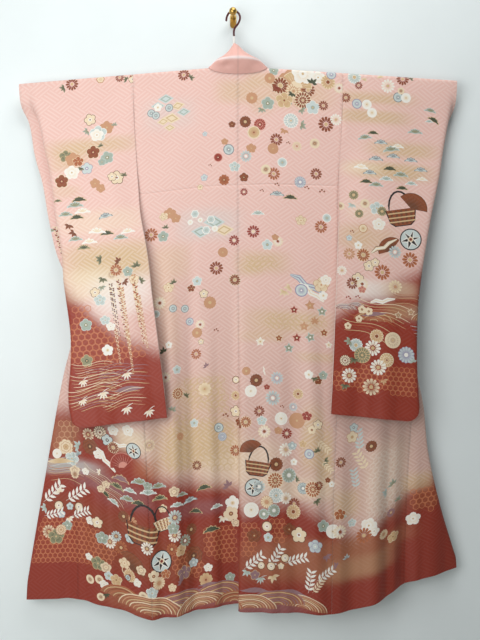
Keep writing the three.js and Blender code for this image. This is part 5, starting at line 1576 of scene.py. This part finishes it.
def bodyPiece(side):
    long, gap = alongOf(cut["length"]), cut["seamGap"]

    def dip(a, l):
        depth = depths(l)
        edge = np.where(l < 0, backWidth(side, depth), cut["front"])
        tucked = np.exp(-(((depth - tuckDepth(side, a, depth)) / tuck["reach"]) ** 2)) * (l < 0)
        return tuck["deep"] * tucked + seamGroove["body"] * (groove(a) + groove(a - edge))

    (low, high), (under, over), coarse = tuck["depth"], cutting["tuck"], cutting["sheetAlong"]
    fine = np.arange(-alongOf(low + under), -alongOf(high - over), cutting["sheetFine"])
    along = [np.arange(-long - 4, fine[0] - 2, coarse), fine]
    along.append(np.arange(fine[-1] + 3, -cutting["shoulder"], coarse))
    grid = np.arange(-3, 330, cutting["sheetAcross"])
    sheet = makeSheet(bodyRow, side, grid, np.concatenate(along + frontLines(long)), dip)
    neckAlong = alongOf(cut["neckDip"])
    neckShares = (0, 0.15, 0.35, 0.5, 0.62, 0.74, 0.84, 0.92, 0.97, 1)
    far = steps(long, 13) + steps(12, 0.5, 3) + [-neckAlong * share for share in neckShares]
    far += steps(-neckAlong - 6, -long)
    outline = [(gap, a) for a in steps(-long, long)]
    outline += [(x, long) for x in steps(gap, farEdge(side, long))[1:-1]]
    outline += [(farEdge(side, a), a) for a in far]
    outline += [(x, -long) for x in steps(farEdge(side, -long), gap)[1:-1]]
    base = []
    for a in rowsAlong(long, 12):
        outer = farEdge(side, a)
        spot, plan = (outer, "back") if a < 0 else (foldOf(side, a), "front")
        base.append(rowBase(a, gap, outer, [spot], rowPlans[plan]))
    for across in steps(6, 300, 6):
        line = tuckDepth(side, across, (low + high) / 2)
        base.append(np.array([(across, -alongOf(line + away)) for away in (-5, -2.6, -1, 1, 2.6, 5)]))
    low, high = np.array([0, -long]), np.array([320, long])
    patches = onPiece(bodyPatches, backMove(side), low, np.array([320, 30]))
    patches += onPiece(bodyPatches, frontMove(side), np.array([0, 30]), high)
    return {
        "name": f"bodyCloth_{sideNames[side]}",
        "sheet": sheet,
        "side": side,
        "out": -1,
        "outline": outline,
        "base": np.concatenate(base),
        "patches": patches,
        "ground": lambda points: groundColour(*bodyLayout(side)(points).T, "body"),
        "layout": bodyLayout(side),
        "wall": lambda points: hemWall(points, long, cut["wall"]),
        "lining": liningWhite,
    }


def frontPiece(side, name, inner, outer, top, low, wall, patches, ground, lining):
    far = lambda a: outer(depthOf(a)) - cut["seamGap"]
    near = lambda a: inner(depthOf(a)) + cut["seamGap"]
    first, last = alongOf(top), alongOf(low)
    dip = lambda a, l: seamGroove["body"] * groove(a - cut["front"])
    along = np.arange(first - 10, last + 12, cutting["sheetAlong"])
    grid = np.arange(inner(top) - 12, outer(low) + 14, cutting["sheetAcross"])
    sheet = makeSheet(bodyRow, side, grid, along, dip)
    outline = [(near(a), a) for a in steps(first, last)]
    outline += [(x, last) for x in steps(near(last), far(last), 8)[1:-1]]
    outline += [(far(a), a) for a in steps(last, first)]
    outline += [(x, first) for x in steps(far(first), near(first), 8)[1:-1]]
    base = []
    for a in [first + 2, *steps(first + 8, last - 12, cutting["row"]), last - 4, last - 1.6]:
        count = max(4, int((far(a) - near(a)) / 8))
        base.append(rowBase(a, near(a), far(a), [foldOf(side, a)], rowPlans["front"], count))
    corners = np.array([(inner(top), first), (outer(low) + 5, last)])
    return {
        "name": f"{name}_{sideNames[side]}",
        "sheet": sheet,
        "side": side,
        "out": -1,
        "outline": outline,
        "base": np.concatenate(base),
        "patches": onPiece(patches, frontMove(side), *corners),
        "ground": ground,
        "layout": bodyLayout(side),
        "wall": wall,
        "lining": lining,
    }


def overlapPiece(side):
    long, tip = alongOf(cut["length"]), cut["overlapTip"] + 0.1
    ground = lambda points: groundColour(*bodyLayout(side)(points).T, "body")
    wall = lambda points: hemWall(points, long, cut["wall"])
    inner = lambda depth: cut["front"]
    return frontPiece(
        side, "overlapCloth", inner, frontWidth, tip, cut["length"], wall, bodyPatches, ground, liningWhite
    )


def collarPiece(side):
    pink = np.append(linear(collarPink), 0.3)
    ground = lambda points: np.tile(pink, (len(points), 1))
    wall = lambda points: np.full(len(points), cut["collarWall"])
    outer = lambda depth: frontWidth(depth) + cut["collar"]
    top = cut["overCollarEnd"] + 0.3
    return frontPiece(
        side, "collarCloth", frontWidth, outer, top, cut["collarEnd"], wall, [], ground, collarPink
    )


def sleevePiece(side):
    long, gap = alongOf(cut["sleeveLong"]), cut["seamGap"]
    wide, corner = cut["sleeveWide"], cut["sleeveCorner"]

    def inner(a):
        depth = depthOf(a)
        lap = sleeveLap["wide"] * ease(*sleeveLap["from"], depth) * ease(*sleeveLap["to"], depth)
        return gap - (lap if a < 0 else 0)

    dip = lambda a, l: -seamGroove["sleeve"] * groove(a) * (np.abs(l) < alongOf(cut["armhole"]))
    back = np.arange(-long - 4, -cutting["shoulder"], cutting["sheetAlong"])
    grid = np.arange(-9, wide + 3, cutting["sheetAcross"])
    sheet = makeSheet(sleeveRow, side, grid, np.concatenate([back, *frontLines(long)]), dip)
    outer, turn = wide - gap, foldLow[side]
    low = steps(outer, turn)[1:] + steps(turn, turn - corner, 2)[1:] + steps(turn - corner, gap)[1:-1]
    low = [(x, long - cornerRise(side, x)) for x in low]
    outline = [(outer, a) for a in steps(corner - long, long - corner)] + low
    outline += [(inner(a), a) for a in steps(long, -long)] + [(x, -a) for x, a in low[::-1]]
    base = []
    for a in rowsAlong(long, 10):
        _, turnAt, back = sleeveCut(side, depthOf(a))
        base.append(rowBase(a, inner(a), outer, [turnAt, turnAt + back], rowPlans["sleeve"]))
    base = np.concatenate(base)
    base = base[np.abs(base[:, 1]) < long - cornerRise(side, base[:, 0]) - 1.2]
    drawn = [item for net in hexagonNets[side] for item in hexagonNet(*net)] + layOut(sleeveMotifs[side])
    patches = onPiece(drawn, sleeveMove(side, -1), np.array([0, -long]), np.array([wide, 30]))
    patches += onPiece(drawn, sleeveMove(side, 1), np.array([0, 30]), np.array([wide, long]))
    layout = lambda points: np.stack([side * points[:, 0], depths(points[:, 1])], 1)
    return {
        "name": f"sleeveCloth_{sideNames[side]}",
        "sheet": sheet,
        "side": side,
        "out": 1,
        "outline": outline[::-1],
        "base": base,
        "patches": patches,
        "ground": lambda points: groundColour(*layout(points).T, side),
        "layout": layout,
        "wall": lambda points: hemWall(points, long, cut["wall"], 0),
        "lining": liningWhite,
    }


cloths = {}
for side in (-1, 1):
    for made in (bodyPiece, overlapPiece, collarPiece, sleevePiece):
        plan = made(side)
        cloths[plan["name"]] = makeCloth(plan)
        print(plan["name"], "cut:", len(cloths[plan["name"]].data.polygons), "faces")

# The collar round the back of the neck: its seam, crease and free edge from the centre outwards
neckCollar = {
    "seam": [(0, -48.6, -19), (18, -48.6, -18.6), (36, -48.6, -17.2), (54, -48.6, -15), (70, -48.6, -11),
             (83.5, -48.4, -5), (88.8, -42.6, 1.6), (88.6, -33.3, -1), (89.2, -29.9, -8)],
    "crease": [(-4, -79, 24), (13, -78, 25), (31, -75, 25), (49, -69, 24), (64, -60, 21),
               (76, -50, 12), (78, -40, 9), (75, -29.4, 3.4), (75, -28.4, -5)],
    "edge": [(-12, -47, 73), (-1, -47, 68), (16, -46, 52), (34, -44, 39), (50, -40, 28),
             (63, -36, 16), (62, -31, 9), (58, -27.5, 4.5), (57, -27.5, -4)],
    "lean": 18,
    "creaseSharp": 0.16,
    "puckers": (  # place, share across, half width, half height, depth
        (-50, 0.34, 12, 0.1, 2.6), (-30, 0.26, 13, 0.09, -3.2),
        (22, 0.2, 14, 0.12, 1.4), (52, 0.3, 12, 0.12, -1.6),
    ),
    # a painted highlight along the crease: how far the colour is whitened there
    "creaseLight": 0.6,
    "creasePlace": (0.47, 0.045),  # share across, half width
    "centreShade": 0.14,  # along the seam at the middle of the neck
    "centreWide": 2.4,
    "rim": 0.03,  # share across over which the wall thins towards its edges
    "stationSteps": 6,
    "stepsAcross": 37,
    "frontDepths": (24, 75, 140, 225, 250, 266, 282, 300, 330),
}


def neckStations():
    lines = []
    for side in (-1, 1):
        neck = [neckCollar[part] for part in ("seam", "crease", "edge")]
        rows = [np.array(row, float) for row in zip(*neck)]
        for depth in neckCollar["frontDepths"]:
            at = frontWidth(depth) + cut["seamGap"] + cut["collar"] * np.array([0, 0.5, 1])
            rows.append(frontPoint(side, at, depth))
        for row in rows:
            row[:, 0] *= side
        lines.append(rows)
    stations = lines[0][:0:-1] + lines[1]
    for row in stations:
        if row[0, 0] < 0:
            row[2, 0] -= neckCollar["lean"] * max(0, (row[2, 2] - 20) / 53)
    return np.array(stations)


def alongStations(stations, fine):
    count = len(stations)
    at = np.linspace(0, count - 1, (count - 1) * fine + 1)
    table = {"at": np.arange(count)}
    made = np.zeros((len(at), 3, 3))
    for part in range(3):
        for k in range(3):
            made[:, part, k] = smoothRead({**table, "v": stations[:, part, k]}, "v", at, "at")
    return made


def neckCollarGrid():
    made = alongStations(neckStations(), neckCollar["stationSteps"])
    away = np.linspace(-1, 1, neckCollar["stepsAcross"])[None, :, None]
    seam, crease, edge = (made[:, k][:, None] for k in range(3))
    fold = np.sqrt(away**2 + neckCollar["creaseSharp"] ** 2) / math.hypot(1, neckCollar["creaseSharp"])
    grid = (fold - away) / 2 * seam + (1 - fold) * crease + (fold + away) / 2 * edge
    for x, share, wide, tall, deep in neckCollar["puckers"]:
        near = ((grid[..., 0] - x) / wide) ** 2 + (((away[..., 0] + 1) / 2 - share) / tall) ** 2
        grid[..., 1] -= deep * np.exp(-near)
    return grid


def makeNeckCollar():
    grid = neckCollarGrid()
    normal = np.cross(np.gradient(grid, axis=1), np.gradient(grid, axis=0))
    normal /= np.linalg.norm(normal, axis=-1, keepdims=True)
    rows, across = grid.shape[:2]
    share = np.linspace(0, 1, across)
    rim = neckCollar["rim"]
    thin = np.exp(-((share / rim) ** 2)) + np.exp(-(((1 - share) / rim) ** 2))
    half = (cut["collarWall"] / 2 * (1 - 0.5 * thin))[None, :, None]
    middle = np.array([hung["centre"], 0, hung["shoulderZ"]])
    skins = [(grid + side * normal * half + middle).reshape(-1, 3) for side in (1, -1)]
    verts = np.concatenate(skins) / 1000
    normals = np.concatenate([side * normal.reshape(-1, 3) for side in (1, -1)])
    faces = []
    for r in range(rows - 1):
        for a in range(r * across, r * across + across - 1):
            faces += [(a, a + 1, a + across + 1), (a, a + across + 1, a + across)]
    loop = rimLoop(np.array(faces))
    count = rows * across
    faces += [(c + count, b + count, a + count) for a, b, c in faces]
    for k in range(len(loop)):
        a, b = loop[k], loop[(k + 1) % len(loop)]
        faces += [(b, a, a + count), (b, a + count, b + count)]
    faces = np.array(faces)
    pink = np.append(linear(collarPink), 1)
    runs = np.cumsum(np.linalg.norm(np.diff(grid[:, 12], axis=0, prepend=grid[:1, 12]), axis=1))
    flat = np.stack(np.meshgrid(runs, share * cut["collar"], indexing="ij"), -1).reshape(-1, 2) / 1000
    # Painted highlight: the colour whitens in a band along the crease
    place, reach = neckCollar["creasePlace"]
    light = neckCollar["creaseLight"] * np.exp(-(((share - place) / reach) ** 2))
    light = np.tile(light, 2 * rows)[faces][..., None]
    centre = np.exp(-((grid[..., 0] / neckCollar["centreWide"]) ** 2)).ravel()
    shade = 1 - neckCollar["centreShade"] * np.tile(centre, 2)[faces][..., None]
    colours = blend(np.tile(pink, (len(faces), 3, 1)), 1.0, light) * shade
    flat = np.concatenate([flat, flat])
    return addMesh("neckCollar", verts, faces, colours, normals[faces], flat, np.zeros(len(faces)))


cloths["neckCollar"] = makeNeckCollar()
print("neck collar made:", len(cloths["neckCollar"].data.polygons), "faces")

# Finishes
class Nodes:
    def __init__(self, name):
        self.material = bpy.data.materials.new(name)
        self.material.use_nodes = True
        self.tree = self.material.node_tree
        self.shader = self.tree.nodes["Principled BSDF"]

    def add(self, kind, inputs=(), **settings):
        node = self.tree.nodes.new(kind)
        for name, value in settings.items():
            setattr(node, name, value)
        for name, value in dict(inputs).items():
            self.plug(node.inputs[name], value)
        return node

    def plug(self, socket, value):
        if isinstance(value, bpy.types.NodeSocket):
            self.tree.links.new(value, socket)
        else:
            socket.default_value = value

    def maths(self, operation, a, b=0.0, clamp=False):
        return self.add("ShaderNodeMath", {0: a, 1: b}, operation=operation, use_clamp=clamp).outputs[0]

    def mixed(self, share, a, b, kind="MIX"):
        node = self.add("ShaderNodeMix", data_type="RGBA", blend_type=kind)
        self.plug(node.inputs[0], share)
        self.plug(node.inputs[6], a)
        self.plug(node.inputs[7], b)
        return node.outputs[2]

    def finish(self, **inputs):
        for name, value in inputs.items():
            self.plug(self.shader.inputs[name.replace("_", " ")], value)
        return self.material


silk = {
    "roughness": 0.52,
    "sheen": 0.08,
    "fretPitch": 0.0104,
    "fretAngle": 36,
    "fretLight": 0.43,
    "barHalf": 0.28,
    "barSharp": 9,
    "figure": (0.34, 0.33, 0.31, 1),
    "cloud": (0.86, 0.8, 0.78, 1),
    "cloudScale": 9,
    "threadScale": 900,
    "grain": 0.18,
}


# Woven figure: short diagonal bars in fours, turned alternately, lighter than the ground
def wovenFigure(n, flat):
    turn = math.radians(silk["fretAngle"])
    split = n.add("ShaderNodeSeparateXYZ", {0: flat})
    across = n.maths("MULTIPLY", split.outputs[0], math.sin(turn) / silk["fretPitch"])
    down = n.maths("MULTIPLY", split.outputs[1], math.cos(turn) / silk["fretPitch"])
    p, q = n.maths("SUBTRACT", down, across), n.maths("ADD", down, across)
    cell = lambda v: n.maths("FLOOR", n.maths("MULTIPLY", v, 0.25))
    parity = n.maths("MODULO", n.maths("ADD", n.maths("ADD", cell(p), cell(q)), 4000), 2)

    def bar(v):
        away = n.maths("ABSOLUTE", n.maths("SUBTRACT", n.maths("FRACT", v), 0.5))
        return n.maths("MULTIPLY", n.maths("SUBTRACT", silk["barHalf"], away), silk["barSharp"], True)

    inverse = n.maths("SUBTRACT", 1, parity)
    return n.maths("ADD", n.maths("MULTIPLY", bar(p), parity), n.maths("MULTIPLY", bar(q), inverse), True)


def silkFinish():
    n = Nodes("figuredSilk")
    dye = n.add("ShaderNodeVertexColor", layer_name="dye")
    flat = n.add("ShaderNodeUVMap", uv_map="flatCloth").outputs[0]
    figure = wovenFigure(n, flat)
    bare = n.maths("SUBTRACT", 1, n.maths("MULTIPLY", dye.outputs[1], 0.9))
    figure = n.maths("MULTIPLY", figure, bare)
    strength = n.maths("MULTIPLY", figure, silk["fretLight"])
    cloudy = n.add("ShaderNodeTexNoise", {"Vector": flat, "Scale": silk["cloudScale"], "Detail": 3}).outputs[0]
    light = n.mixed(strength, dye.outputs[0], silk["figure"], "SCREEN")
    cloud = n.maths("MULTIPLY", n.maths("SUBTRACT", cloudy, 0.42, True), 0.5)
    toned = n.mixed(cloud, light, silk["cloud"], "MULTIPLY")
    thread = n.add("ShaderNodeTexNoise", {"Vector": flat, "Scale": silk["threadScale"], "Detail": 2}).outputs[0]
    grain = n.maths("ADD", n.maths("MULTIPLY", figure, 0.6), n.maths("MULTIPLY", thread, 0.5))
    bump = n.add("ShaderNodeBump", {"Height": grain, "Strength": silk["grain"], "Distance": 0.0006}).outputs[0]
    rough = n.maths("SUBTRACT", silk["roughness"], n.maths("MULTIPLY", figure, 0.1))
    sheen = {"Sheen_Weight": silk["sheen"], "Sheen_Roughness": 0.4}
    return n.finish(Base_Color=toned, Roughness=rough, Normal=bump, **sheen, Specular_IOR_Level=0.35)


def plainSilkFinish(name, colour, rough=0.55):
    n = Nodes(name)
    flat = n.add("ShaderNodeUVMap", uv_map="flatCloth").outputs[0]
    cloudy = n.add("ShaderNodeTexNoise", {"Vector": flat, "Scale": 14, "Detail": 4}).outputs[0]
    thread = n.add("ShaderNodeTexNoise", {"Vector": flat, "Scale": 800, "Detail": 2}).outputs[0]
    tone = n.mixed(n.maths("MULTIPLY", cloudy, 0.3), colour, tuple(0.82 * v for v in colour[:3]) + (1,))
    bump = n.add("ShaderNodeBump", {"Height": thread, "Strength": 0.15, "Distance": 0.0005}).outputs[0]
    return n.finish(
        Base_Color=tone, Roughness=rough, Normal=bump, Sheen_Weight=0.2, Specular_IOR_Level=0.35
    )


def fittingFinish(name, colour, rough, metal=0, wear=0.0, scale=60):
    n = Nodes(name)
    place = n.add("ShaderNodeTexCoord").outputs["Object"]
    cloudy = n.add("ShaderNodeTexNoise", {"Vector": place, "Scale": scale, "Detail": 5}).outputs[0]
    fine = n.add("ShaderNodeTexNoise", {"Vector": place, "Scale": scale * 14, "Detail": 2}).outputs[0]
    darker = tuple(0.7 * v for v in colour[:3]) + (1,)
    worn = n.maths("MULTIPLY", n.maths("SUBTRACT", cloudy, 0.4, True), 2 * wear + 0.4, True)
    tone = n.mixed(worn, colour, darker)
    shine = n.maths("ADD", rough - 0.06, n.maths("MULTIPLY", cloudy, 0.14))
    bump = n.add("ShaderNodeBump", {"Height": fine, "Strength": 0.08, "Distance": 0.0004}).outputs[0]
    return n.finish(Base_Color=tone, Roughness=shine, Metallic=metal, Normal=bump)


def opaque(r, g, b):
    return (*linear((r, g, b)), 1)


silkOuter = silkFinish()
lining = plainSilkFinish("plainLining", opaque(236, 222, 212))
fittings = {
    "brass": fittingFinish("wornBrass", opaque(206, 168, 92), 0.3, 1, 0.6),
    "hook": fittingFinish("darkCoating", opaque(84, 30, 36), 0.3),
    "ferrule": fittingFinish("whiteFerrule", opaque(232, 230, 224), 0.35),
    "arms": fittingFinish("maroonHanger", opaque(112, 62, 54), 0.45),
    "wall": fittingFinish("wallPaint", (*roomSettings["wall"], 1), 0.8, scale=3),
    "floor": fittingFinish("floorPaint", (*roomSettings["floor"], 1), 0.7, scale=3),
}
fittingNodes = {
    "wall_hook_peg": "brass",
    "wall_hook_plate": "brass",
    "hanger_hook": "hook",
    "hanger_ferrule": "ferrule",
    "hanger_arm_left": "arms",
    "hanger_arm_right": "arms",
    "hanger_hub": "arms",
    "hanger_stem": "arms",
}
for nodeName, finishName in fittingNodes.items():
    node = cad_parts[nodeName]
    node.data.materials.clear()
    node.data.materials.append(fittings[finishName])
for body in cloths.values():
    body.data.materials.append(silkOuter)
    body.data.materials.append(lining)
print("finishes made")


def addRoom():
    wide = roomSettings["wide"] / 2
    floor = roomSettings["floorBelow"]
    wall = roomSettings["wallBehind"]
    top, front = floor + 2 * wide, wall - 2 * wide
    plans = {
        "roomWall": [(-wide, wall, floor), (wide, wall, floor), (wide, wall, top), (-wide, wall, top)],
        "roomFloor": [(-wide, front, floor), (wide, front, floor), (wide, wall, floor), (-wide, wall, floor)],
    }
    for name, corners in plans.items():
        mesh = bpy.data.meshes.new(name)
        mesh.from_pydata(corners, [], [(0, 1, 2, 3)])
        mesh.materials.append(fittings["wall" if name == "roomWall" else "floor"])
        body = bpy.data.objects.new(name, mesh)
        bpy.context.collection.objects.link(body)
    world = bpy.data.worlds.new("roomAir")
    world.use_nodes = True
    air = world.node_tree.nodes["Background"]
    air.inputs[0].default_value = (*roomSettings["air"], 1)
    air.inputs[1].default_value = roomSettings["airStrength"]
    bpy.context.scene.world = world


addRoom()

# How each cloth was cut: flat width and length in metres, flat area, and the node it stands for
cutSheets = {
    "bodyCloth": ("body_panel", (0.318, 3.26), 0.873),
    "overlapCloth": ("overlap_panel", (0.17, 1.405), 0.181),
    "collarCloth": ("collar", (0.06, 0.51), 0.0304),
    "sleeveCloth": ("sleeve", (0.345, 2.072), 0.713),
}
for name, body in cloths.items():
    if name == "neckCollar":
        node, flat, area, rests = "over_collar", (0.06, 0.88), 0.0528, ["bodyCloth_left", "bodyCloth_right"]
    else:
        kind, sideName = name.split("_")
        node, flat, area = cutSheets[kind]
        node = f"{node}_{sideName}"
        rests = {
            "bodyCloth": [f"hanger_arm_{sideName}"],
            "overlapCloth": [f"bodyCloth_{sideName}"],
            "collarCloth": [f"overlapCloth_{sideName}"],
            "sleeveCloth": [f"hanger_arm_{sideName}"],
        }[kind]
    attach(body, "root")
    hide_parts(node)
